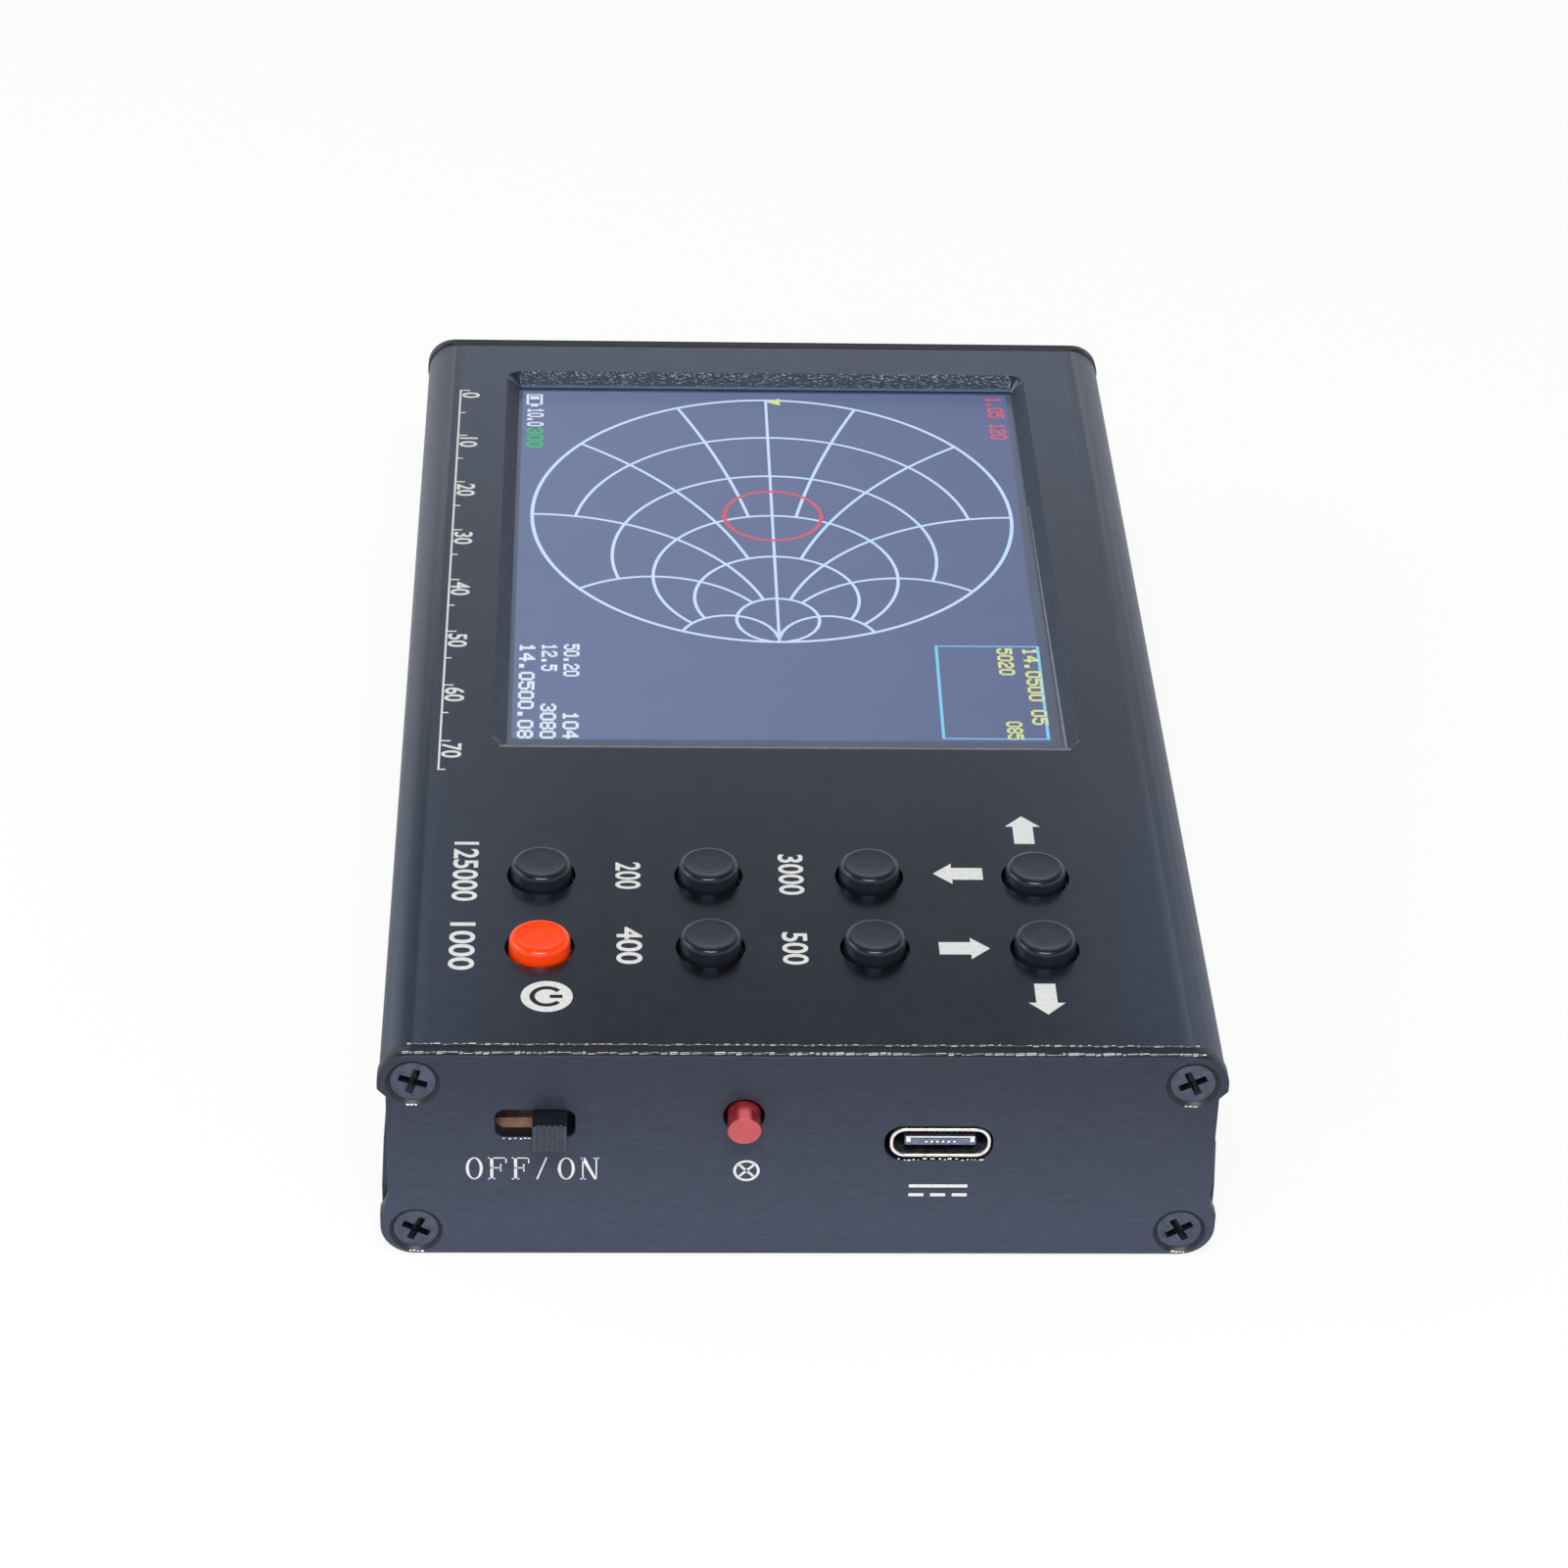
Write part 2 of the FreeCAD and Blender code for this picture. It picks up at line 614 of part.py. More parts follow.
def rear_plate_screws():
    return [plate_screw(x, z, REAR, -1) for x, z in PORTS]


# ---------------------------------------------------------------- boards
def board_hole(x, y, top, radius):
    return flat_hole_z(x, y, top - BOARD_T - CUT, top + CUT, radius)


def main_board():
    board = box(-BOARD_HALF_W, BOARD_HALF_W, BOARD_FRONT, BOARD_REAR, BOARD_UNDER, BOARD_TOP)
    for x, y in SPACERS:
        board = board.cut(board_hole(x, y, BOARD_TOP, BOARD_HOLE_R))
    for x in lead_places():
        board = board.cut(board_hole(x, lead_drop_y() + LEAD_T / 2, BOARD_TOP, LEAD_T))
    for x in terminal_places():
        board = board.cut(board_hole(x, terminal_y() + LEAD_T / 2, BOARD_TOP, LEAD_T))
    notch = SMA_FLANGE / 2 + BOARD_SIDE_GAP
    return board.cut(box(SMA_X - notch, SMA_X + notch, SMA_INNER - BOARD_SIDE_GAP, BOARD_REAR + CUT,
                         BOARD_UNDER - CUT, BOARD_TOP + CUT))


def display_board():
    board = box(-DISPLAY_BOARD_HALF_W, DISPLAY_BOARD_HALF_W, FRONT + DISPLAY_BOARD_FRONT_D, BOARD_REAR,
                DISPLAY_BOARD_UNDER, DISPLAY_BOARD_TOP)
    for x, y in SPACERS:
        board = board.cut(board_hole(x, y, DISPLAY_BOARD_TOP, BOARD_HOLE_R))
    return board


def board_spacers():
    """Hexagonal pillars with a stud below and a tapped hole above."""
    pillars = []
    up = FreeCAD.Vector(0, 0, 1)
    tapped_r = STUD_R + RUN_GAP
    for x, y in SPACERS:
        centre = FreeCAD.Vector(x, y, BOARD_TOP)
        pillar = hexagon_prism(centre, up, SPACER_AF, DISPLAY_BOARD_UNDER - BOARD_TOP)
        stud = flat_bar_z(x, y, BOARD_UNDER - NUT_T, BOARD_TOP, STUD_R)
        hole = flat_hole_z(x, y, DISPLAY_BOARD_UNDER - PAN_THREAD, DISPLAY_BOARD_UNDER, tapped_r)
        pillars.append(pillar.fuse(stud).cut(hole))
    return pillars


def spacer_nuts():
    up = FreeCAD.Vector(0, 0, 1)
    nut_z = BOARD_UNDER - NUT_T
    nuts = []
    for x, y in SPACERS:
        nut = hexagon_prism(FreeCAD.Vector(x, y, nut_z), up, SPACER_AF, NUT_T)
        nuts.append(nut.cut(flat_hole_z(x, y, nut_z, BOARD_UNDER, STUD_R + RUN_GAP)))
    return nuts


def display_board_screws():
    """Small pan-head screws that hold the display board to its pillars."""
    section = [
        (STUD_R, DISPLAY_BOARD_UNDER - PAN_THREAD + RUN_GAP),
        (STUD_R, DISPLAY_BOARD_TOP),
        (PAN_R, DISPLAY_BOARD_TOP),
        (PAN_R, DISPLAY_BOARD_TOP + PAN_H),
    ]
    return [flat_turned_z(x, y, section) for x, y in SPACERS]


def board_header():
    """Socket strip that carries the display board's signals down to the main board."""
    half = HEADER_PINS * HEADER_PITCH / 2
    y = FRONT + HEADER_Y_D
    strip = box(-half, half, y - HEADER_DEPTH / 2, y + HEADER_DEPTH / 2, BOARD_TOP, DISPLAY_BOARD_UNDER)
    for x in header_places():
        strip = strip.cut(header_pin(x, RUN_GAP))
    return strip


def header_places():
    return [(i - (HEADER_PINS - 1) / 2) * HEADER_PITCH for i in range(HEADER_PINS)]


def header_pin(x, grow):
    y = FRONT + HEADER_Y_D
    half = HEADER_PIN / 2 + grow
    return box(x - half, x + half, y - half, y + half, BOARD_TOP, DISPLAY_BOARD_UNDER)


def header_pins():
    return [header_pin(x, 0) for x in header_places()]


def rf_shield_can():
    y1 = FRONT + SHIELD_FAR_D
    y0 = y1 - SHIELD_L
    half = SHIELD_W / 2
    top = BOARD_TOP + SHIELD_H
    can = box(-half, half, y0, y1, BOARD_TOP, top)
    s = SHIELD_SHEET
    return can.cut(box(-half + s, half - s, y0 + s, y1 - s, BOARD_TOP, top - s))


def chip(x, from_front, width, length, height):
    """Moulded chip with a bevelled top edge, flat on the main board."""
    y = FRONT + from_front
    body = box(x - width / 2, x + width / 2, y - length / 2, y + length / 2, BOARD_TOP, BOARD_TOP + height)
    upper = [e for e in body.Edges if min(v.Z for v in e.Vertexes) > BOARD_TOP + height / 2]
    return body.makeChamfer(CHIP_BEVEL * height, upper)


def main_chips():
    return [chip(*place_and_size) for place_and_size in CHIPS.values()]


# ---------------------------------------------------------------- display
def lcd_frame():
    """Tray that holds the light box and the glass, with a gap for the flex at its near end."""
    half = LCD_W / 2
    tray = box(-half, half, LCD_Y0, LCD_Y1, LCD_Z, LCD_TOP)
    tray = tray.cut(inside_tray(0, LCD_Z + LCD_FLOOR, LCD_TOP))
    gap = FLEX_W / 2 + LCD_WALL
    return tray.cut(box(-gap, gap, LCD_Y0 - CUT, LCD_Y0 + LCD_WALL, GLASS_UNDER - FLEX_NOTCH, LCD_TOP))


def inside_tray(gap, z0, z1):
    reach = LCD_WALL + gap
    half = LCD_W / 2 - reach
    return box(-half, half, LCD_Y0 + reach, LCD_Y1 - reach, z0, z1)


def lcd_glass():
    return inside_tray(RUN_GAP, GLASS_UNDER, LCD_TOP)


def lcd_backlight():
    return inside_tray(RUN_GAP, LCD_Z + LCD_FLOOR, GLASS_UNDER)


def lcd_pad():
    half = LCD_W / 2 - PAD_INSET
    return box(-half, half, LCD_Y0 + PAD_INSET, LCD_Y1 - PAD_INSET, DISPLAY_BOARD_TOP, LCD_Z)


def ribbon_path():
    """Upper face of the ribbon in the YZ plane: out of the tray, one S bend down, into the plug.

    A step is a point, or for an arc the middle point and the end point."""
    drop = (RIBBON_HIGH - RIBBON_LOW) / 2
    turn = math.acos(1 - drop / FLEX_BEND_R)
    reach = FLEX_BEND_R * math.sin(turn)
    half_reach = FLEX_BEND_R * math.sin(turn / 2)
    half_drop = FLEX_BEND_R * (1 - math.cos(turn / 2))
    start = LCD_Y0 + LCD_WALL
    bend = LCD_Y0 - FLEX_BEND_R
    foot = bend - 2 * reach
    return [
        [(start, RIBBON_HIGH)],
        [(bend, RIBBON_HIGH)],
        [(bend - half_reach, RIBBON_HIGH - half_drop), (bend - reach, RIBBON_HIGH - drop)],
        [(foot + half_reach, RIBBON_LOW + half_drop), (foot, RIBBON_LOW)],
        [(foot - FLEX_PLUG_L, RIBBON_LOW)],
    ]


def lcd_flex():
    """Ribbon from under the glass edge, bent down to its connector on the display board."""
    x = -FLEX_W / 2
    path = ribbon_path()
    edges = []
    for fall in (0, FLEX_T):
        here = FreeCAD.Vector(x, path[0][0][0], path[0][0][1] - fall)
        for step in path[1:]:
            points = [FreeCAD.Vector(x, y, z - fall) for y, z in step]
            if len(points) == 2:
                edges.append(Part.Arc(here, points[0], points[1]).toShape())
            else:
                edges.append(Part.makeLine(here, points[0]))
            here = points[-1]
    for y, z in (path[0][0], path[-1][0]):
        edges.append(Part.makeLine(FreeCAD.Vector(x, y, z), FreeCAD.Vector(x, y, z - FLEX_T)))
    outline = Part.Wire(Part.sortEdges(edges)[0])
    return Part.Face(outline).extrude(FreeCAD.Vector(FLEX_W, 0, 0))


def lcd_connector():
    """Flex socket, with the slit that the ribbon is clamped in."""
    plug_end = ribbon_path()[-1][0][0]
    half = FLEX_W / 2 + CONNECTOR_BACK
    body = box(-half, half, plug_end - CONNECTOR_BACK, plug_end + CONNECTOR_MOUTH, DISPLAY_BOARD_TOP,
               DISPLAY_BOARD_TOP + CONNECTOR_H)
    slit = FLEX_W / 2 + RUN_GAP
    return body.cut(box(-slit, slit, plug_end - RUN_GAP, plug_end + CONNECTOR_MOUTH + CUT,
                        RIBBON_LOW - FLEX_T - RUN_GAP, RIBBON_LOW + RUN_GAP))


# ---------------------------------------------------------------- keys
def key_cap(x, y, top):
    """Round cap, a little narrower above, with a bevelled rim and a socket for the plunger."""
    top_r = KEY_CAP_R - KEY_TAPER
    section = [(KEY_CAP_R, KEY_UNDER), (top_r, top - KEY_ROUND), (top_r - KEY_ROUND, top)]
    cap = flat_turned_z(x, y, section, CAP_FLATS)
    socket_top = top - KEY_SOCKET_ROOF + SEAT_GAP
    return cap.cut(flat_hole_z(x, y, KEY_UNDER - CUT, socket_top, PLUNGER_R + SEAT_GAP))


def key_plunger(x, y, cap_top):
    """Stem, the flange that the switch cover holds down, and the nib over the snap dome."""
    flange_top = TACT_COVER_Z - RUN_GAP
    flange_z = flange_top - PLUNGER_FLANGE_T
    section = [
        (PLUNGER_NIB_R, NIB_Z),
        (PLUNGER_NIB_R, flange_z),
        (PLUNGER_FLANGE_R, flange_z),
        (PLUNGER_FLANGE_R, flange_top),
        (PLUNGER_R, flange_top),
        (PLUNGER_R, cap_top - KEY_SOCKET_ROOF),
    ]
    return flat_turned_z(x, y, section)


def tact_square(x, y, z0, z1):
    half = TACT_W / 2
    return box(x - half, x + half, y - half, y + half, z0, z1)


def key_switch_bases():
    bases = []
    for x, y in KEYS.values():
        base = tact_square(x, y, DISPLAY_BOARD_TOP, TACT_COVER_Z)
        bases.append(base.cut(flat_hole_z(x, y, TACT_CAVITY_Z, TACT_TOP, TACT_CAVITY_R)))
    return bases


def key_switch_covers():
    covers = []
    for x, y in KEYS.values():
        cover = tact_square(x, y, TACT_COVER_Z, TACT_TOP)
        hole = flat_hole_z(x, y, TACT_COVER_Z, TACT_TOP, PLUNGER_R + RUN_GAP)
        covers.append(cover.cut(hole))
    return covers


def key_snap_domes():
    """Contact domes, drawn at their pressed height."""
    return [flat_bar_z(x, y, TACT_CAVITY_Z, DOME_TOP, DOME_R) for x, y in KEYS.values()]


# ---------------------------------------------------------------- slide switch
def slide_switch_base():
    half = SWITCH_W / 2
    return box(SWITCH_X - half, SWITCH_X + half, SWITCH_Y, SWITCH_Y + SWITCH_DEPTH,
               SWITCH_BASE_TOP - SWITCH_BASE_T, SWITCH_BASE_TOP)


def slide_switch_cover():
    """Folded sheet over the slider, open at the front where the arm comes out."""
    half = SWITCH_W / 2
    sheet = SWITCH_SHEET
    top = SWITCH_BASE_TOP + SWITCH_COVER_H
    back = SWITCH_Y + SWITCH_DEPTH
    cover = box(SWITCH_X - half, SWITCH_X + half, SWITCH_Y, back, SWITCH_BASE_TOP, top)
    cover = cover.cut(box(SWITCH_X - half + sheet, SWITCH_X + half - sheet, SWITCH_Y + sheet, back - sheet,
                          SWITCH_BASE_TOP, top - sheet))
    mouth = (ARM_W + KNOB_TRAVEL) / 2 + 2 * RUN_GAP
    cover = cover.cut(box(SWITCH_X - mouth, SWITCH_X + mouth, SWITCH_Y - CUT, SWITCH_Y + sheet,
                          SWITCH_BASE_TOP, ARM_Z + ARM_H + RUN_GAP))
    lug_back = back - SWITCH_LUG_BACK
    for side in (-1, 1):
        x = SWITCH_X + side * (half + sheet / 2)
        cover = cover.fuse(box(x - sheet / 2, x + sheet / 2, lug_back - SWITCH_LUG_W, lug_back, BOARD_TOP,
                               top - sheet))
    return cover.removeSplitter()


def slide_switch_knob():
    """Ribbed knob outside the plate, its arm, and the slider inside the cover."""
    outer_y = FRONT - KNOB_PROUD
    knob = box(KNOB_X - KNOB_W / 2, KNOB_X + KNOB_W / 2, outer_y, SHELL_FRONT,
               SWITCH_Z - KNOB_H / 2, SWITCH_Z + KNOB_H / 2)
    pitch = KNOB_W / (KNOB_RIBS + 1)
    for i in range(KNOB_RIBS):
        x = KNOB_X + (i - (KNOB_RIBS - 1) / 2) * pitch
        knob = knob.cut(box(x - pitch / 4, x + pitch / 4, outer_y - CUT, outer_y + KNOB_RIB_DEPTH,
                            SWITCH_Z - KNOB_H, SWITCH_Z + KNOB_H))
    slider_y = SWITCH_Y + SWITCH_SHEET + RUN_GAP
    arm = box(KNOB_X - ARM_W / 2, KNOB_X + ARM_W / 2, SHELL_FRONT, slider_y, ARM_Z, ARM_Z + ARM_H)
    slider_half = (SWITCH_W - KNOB_TRAVEL) / 2 - SWITCH_SHEET - SLIDER_LEAD
    slider = box(KNOB_X - slider_half, KNOB_X + slider_half, slider_y,
                 SWITCH_Y + SWITCH_DEPTH - SWITCH_SHEET - RUN_GAP, ARM_Z,
                 SWITCH_BASE_TOP + SWITCH_COVER_H - SWITCH_SHEET - RUN_GAP)
    return knob.fuse(arm).fuse(slider).cut(bridge_block(SEAT_GAP))


def bridge_block(gap):
    """The contact bridge under the slider, or with a gap the pocket it sits in."""
    y = SWITCH_Y + SWITCH_DEPTH / 2
    half_w = BRIDGE_W / 2 + gap
    half_d = BRIDGE_D / 2 + gap
    return box(KNOB_X - half_w, KNOB_X + half_w, y - half_d, y + half_d, ARM_Z, ARM_Z + BRIDGE_T + gap)


def slide_switch_bridge():
    """Bronze bridge that joins two terminals and travels with the slider."""
    return bridge_block(0)


def terminal_places():
    return [SWITCH_X + i * LEAD_PITCH for i in (-1, 0, 1)]


def terminal_y():
    return SWITCH_Y + SWITCH_DEPTH / 2


def slide_switch_terminals():
    """Three pins from the base down through the main board."""
    y = terminal_y()
    pins = []
    for x in terminal_places():
        pins.append(box(x - LEAD_T / 2, x + LEAD_T / 2, y, y + LEAD_T, BOARD_UNDER - LEAD_TAIL,
                        SWITCH_BASE_TOP - SWITCH_BASE_T))
    return pins


# ---------------------------------------------------------------- status lamp
def lamp_lens():
    """Flat-topped lamp body with the usual flange, which stops it behind the plate."""
    flange_y = SHELL_FRONT + LAMP_FLANGE_GAP
    back_y = flange_y + LAMP_FLANGE_T
    section = [
        (LAMP_R, FRONT - LAMP_PROUD),
        (LAMP_R, flange_y),
        (LAMP_FLANGE_R, flange_y),
        (LAMP_FLANGE_R, back_y),
    ]
    lens = flat_turned_y(LAMP_X, LAMP_Z, section, CAP_FLATS)
    flat = box(LAMP_X - LAMP_FLANGE_R, LAMP_X + LAMP_FLANGE_R, flange_y, back_y,
               LAMP_Z - LAMP_FLANGE_R, LAMP_Z - LAMP_R - LAMP_FLAT)
    return lens.cut(flat)


def lead_places():
    return [LAMP_X - LEAD_PITCH / 2, LAMP_X + LEAD_PITCH / 2]


def lead_drop_y():
    return SHELL_FRONT + LAMP_FLANGE_GAP + LAMP_FLANGE_T + LEAD_BACK


def lamp_leads():
    """Two square leads, bent down behind the lamp and into the main board."""
    leads = []
    y0 = SHELL_FRONT + LAMP_FLANGE_GAP + LAMP_FLANGE_T
    y1 = lead_drop_y() + LEAD_T
    top = LAMP_Z + LEAD_T / 2
    foot = BOARD_UNDER - LEAD_TAIL
    for x in lead_places():
        lead = box(x - LEAD_T / 2, x + LEAD_T / 2, y0, y1, foot, top)
        inner = box(x - LEAD_T, x + LEAD_T, y0, y1 - LEAD_T, foot, top - LEAD_T)
        inner_corner = [e for e in inner.Edges if is_upper_back(e, y1 - LEAD_T, top - LEAD_T)]
        outer_corner = [e for e in lead.Edges if is_upper_back(e, y1, top)]
        inner = inner.makeFillet(LEAD_BEND_R, inner_corner)
        lead = lead.makeFillet(LEAD_BEND_R + LEAD_T, outer_corner)
        leads.append(lead.cut(inner))
    return leads


def is_upper_back(edge, y, z):
    return all(abs(v.Y - y) < 1e-6 and abs(v.Z - z) < 1e-6 for v in edge.Vertexes)


# ---------------------------------------------------------------- charging port
def usb_bar(grow, y0, y1):
    """Bar with the port's outline, larger all round by grow, or smaller where that is negative."""
    height = USB_H + 2 * grow
    return rounded_bar_y(USB_X, USB_Z, USB_W + 2 * grow, height, USB_ROUND * height, y0, y1)


def usb_shell():
    """Drawn metal shell, open at the front."""
    back = USB_Y + USB_DEPTH
    return usb_bar(0, USB_Y, back).cut(usb_bar(-USB_WALL, USB_Y - CUT, back - USB_WALL))


def usb_core():
    """Insulating tongue and the block at the back of the shell that carries it."""
    tip = USB_Y + TONGUE_SETBACK
    block_y = tip + TONGUE_PLATE_L
    block = usb_bar(-USB_WALL - SEAT_GAP, block_y, USB_Y + USB_DEPTH - USB_WALL)
    tongue = rounded_bar_y(USB_X, USB_Z, TONGUE_PLATE_W, TONGUE_PLATE_T, TONGUE_PLATE_R, tip,
                           block_y + TONGUE_PLATE_R)
    return block.fuse(tongue).removeSplitter()


def usb_contacts():
    contacts = []
    y0 = USB_Y + TONGUE_SETBACK + USB_CONTACT_SETBACK
    y1 = USB_Y + TONGUE_SETBACK + TONGUE_PLATE_L
    for z0 in (USB_Z - TONGUE_PLATE_T / 2 - USB_CONTACT_T, USB_Z + TONGUE_PLATE_T / 2):
        for i in range(USB_CONTACTS):
            x0 = USB_X + (i - (USB_CONTACTS - 1) / 2) * USB_CONTACT_PITCH - USB_CONTACT_W / 2
            contacts.append(box(x0, x0 + USB_CONTACT_W, y0, y1, z0, z0 + USB_CONTACT_T))
    return contacts


# ---------------------------------------------------------------- coaxial port
def turned_y(x, z, section):
    """Round part along Y, turned from its half section: a list of (radius, y)."""
    corners = [at_xz(x + radius, z, y) for radius, y in section]
    centre_line = [at_xz(x, z, section[-1][1]), at_xz(x, z, section[0][1])]
    face = polygon_face(corners + centre_line)
    return face.revolve(at_xz(x, z, 0), FreeCAD.Vector(0, 1, 0), 360)


def sma_body():
    """Threaded barrel through the rear plate, its square flange and the board legs.

    The thread is plain: over its crests where it is free, at its pitch line under the nut."""
    half = SMA_FLANGE / 2
    free_y = SMA_END - SMA_FREE + SMA_RELIEF
    barrel = turned_y(SMA_X, SMA_Z, [
        (SMA_R, SHELL_REAR),
        (SMA_R, REAR),
        (SMA_PITCH_R, REAR),
        (SMA_PITCH_R, free_y),
        (SMA_R, free_y),
        (SMA_R, SMA_END - SMA_CHAMFER),
        (SMA_R - SMA_CHAMFER, SMA_END),
    ])
    body = box(SMA_X - half, SMA_X + half, SMA_INNER, SHELL_REAR, SMA_Z - half, SMA_Z + half).fuse(barrel)
    for side in (-1, 1):
        x0 = SMA_X + side * SMA_LEG_X - SMA_LEG / 2
        for z0 in (BOARD_TOP, BOARD_UNDER - SMA_LEG):
            body = body.fuse(box(x0, x0 + SMA_LEG, SMA_INNER - SMA_LEG_L, SMA_INNER, z0, z0 + SMA_LEG))
    mouth_y = SMA_END - SMA_MOUTH_DEPTH
    body = body.cut(cylinder_y(SMA_X, SMA_Z, SMA_INNER - CUT, mouth_y, SMA_DIELECTRIC_R + SEAT_GAP))
    return body.cut(cylinder_y(SMA_X, SMA_Z, mouth_y, SMA_END + CUT, SMA_MOUTH_R))


def sma_dielectric():
    core = cylinder_y(SMA_X, SMA_Z, SMA_INNER, SMA_END - SMA_MOUTH_DEPTH, SMA_DIELECTRIC_R)
    bore_r = over_flats(SMA_CONTACT_R + SEAT_GAP, CONTACT_FLATS)
    return core.cut(flat_bar_y(SMA_X, SMA_Z, SMA_INNER - CUT, SMA_END, bore_r, CONTACT_FLATS))


def sma_contact():
    """Centre contact: a drilled socket outside, a flat tail on the board inside."""
    mouth_y = SMA_END - SMA_MOUTH_DEPTH
    pin = flat_bar_y(SMA_X, SMA_Z, SMA_INNER, mouth_y, SMA_CONTACT_R, CONTACT_FLATS)
    socket_y = mouth_y - SMA_SOCKET_DEPTH
    pin = pin.cut(flat_bar_y(SMA_X, SMA_Z, socket_y, mouth_y + CUT, SMA_SOCKET_R, CONTACT_FLATS))
    half = SMA_TAIL / 2
    riser = box(SMA_X - half, SMA_X + half, SMA_INNER - BOARD_SIDE_GAP / 2, SMA_INNER, SMA_Z - half,
                BOARD_TOP + SMA_TAIL)
    strip = box(SMA_X - half, SMA_X + half, SMA_INNER - SMA_TAIL_L, SMA_INNER, BOARD_TOP,
                BOARD_TOP + SMA_TAIL)
    return pin.fuse(riser).fuse(strip)


def sma_washer():
    ring = flat_bar_y(SMA_X, SMA_Z, REAR, REAR + SMA_WASHER_T, SMA_WASHER_R, FINE_FLATS)
    hole_r = over_flats(SMA_R + RUN_GAP, FINE_FLATS)
    return ring.cut(flat_bar_y(SMA_X, SMA_Z, REAR - CUT, REAR + SMA_WASHER_T + CUT, hole_r, FINE_FLATS))


def sma_nut():
    y0 = REAR + SMA_WASHER_T
    along = FreeCAD.Vector(0, 1, 0)
    nut = hexagon_prism(FreeCAD.Vector(SMA_X, y0, SMA_Z), along, SMA_NUT_AF, SMA_NUT_T)
    return nut.cut(cylinder_y(SMA_X, SMA_Z, y0 - CUT, y0 + SMA_NUT_T + CUT, SMA_PITCH_R + RUN_GAP))


# ---------------------------------------------------------------- battery
def battery_cell():
    """Pouch cell with rounded long sides."""
    z0 = BOTTOM_T + CELL_PAD_T
    y = FRONT + CELL_MID_D
    return rounded_bar_y(0, z0 + CELL_T / 2, CELL_W, CELL_T, CELL_R, y - CELL_L / 2, y + CELL_L / 2)


def battery_pad():
    y = FRONT + CELL_MID_D
    half_w = CELL_W / 2 - CELL_PAD_INSET
    half_l = CELL_L / 2 - CELL_PAD_INSET
    return box(-half_w, half_w, y - half_l, y + half_l, BOTTOM_T, BOTTOM_T + CELL_PAD_T)


def battery_tabs():
    """Two flat tabs from the cell's near end, bent up to the underside of the main board."""
    end = FRONT + CELL_MID_D - CELL_L / 2
    bend = end - TAB_REACH
    z = BOTTOM_T + CELL_PAD_T + CELL_T / 2
    tabs = []
    for side in (-1, 1):
        x0 = side * TAB_X - TAB_W / 2
        x1 = x0 + TAB_W
        foot = box(x0, x1, bend, end, z, z + TAB_T)
        riser = box(x0, x1, bend, bend + TAB_T, z, BOARD_UNDER)
        pad = box(x0, x1, bend - TAB_REACH, bend + TAB_T, BOARD_UNDER - TAB_T, BOARD_UNDER)
        tabs.append(foot.fuse(riser).fuse(pad).removeSplitter())
    return tabs


# ---------------------------------------------------------------- export
NODES = {
    "top_shell": top_shell,
    "bottom_shell": bottom_shell,
    "front_end_plate": front_end_plate,
    "rear_end_plate": rear_end_plate,
    "front_plate_screws": front_plate_screws,
    "rear_plate_screws": rear_plate_screws,
    "main_board": main_board,
    "display_board": display_board,
    "board_spacers": board_spacers,
    "spacer_nuts": spacer_nuts,
    "display_board_screws": display_board_screws,
    "board_header": board_header,
    "header_pins": header_pins,
    "rf_shield_can": rf_shield_can,
    "main_chips": main_chips,
    "lcd_frame": lcd_frame,
    "lcd_glass": lcd_glass,
    "lcd_backlight": lcd_backlight,
    "lcd_pad": lcd_pad,
    "lcd_flex": lcd_flex,
    "lcd_connector": lcd_connector,
    "key_switch_bases": key_switch_bases,
    "key_switch_covers": key_switch_covers,
    "key_snap_domes": key_snap_domes,
    "slide_switch_base": slide_switch_base,
    "slide_switch_cover": slide_switch_cover,
    "slide_switch_knob": slide_switch_knob,
    "slide_switch_bridge": slide_switch_bridge,
    "slide_switch_terminals": slide_switch_terminals,
    "lamp_lens": lamp_lens,
    "lamp_leads": lamp_leads,
    "usb_shell": usb_shell,
    "usb_core": usb_core,
    "usb_contacts": usb_contacts,
    "sma_body": sma_body,
    "sma_dielectric": sma_dielectric,
    "sma_contact": sma_contact,
    "sma_washer": sma_washer,
    "sma_nut": sma_nut,
    "battery_cell": battery_cell,
    "battery_pad": battery_pad,
    "battery_tabs": battery_tabs,
}


def export(name, made):
    pieces = made if isinstance(made, list) else [made]
    solids = [solid for piece in pieces for solid in piece.Solids]
    shape = solids[0] if len(solids) == 1 else Part.makeCompound(solids)
    shape.exportStep("parts/" + name + ".step")
    print(name, len(solids), round(shape.Volume, 2), shape.isValid())


os.makedirs("parts", exist_ok=True)
for node_name, make in NODES.items():
    export(node_name, make())
for key_name, place in KEYS.items():
    export("key_cap_" + key_name, key_cap(*place, KEY_TOP[key_name]))
    export("key_plunger_" + key_name, key_plunger(*place, KEY_TOP[key_name]))
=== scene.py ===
import bmesh
import bpy
import math
import random
from mathutils import Matrix, Vector


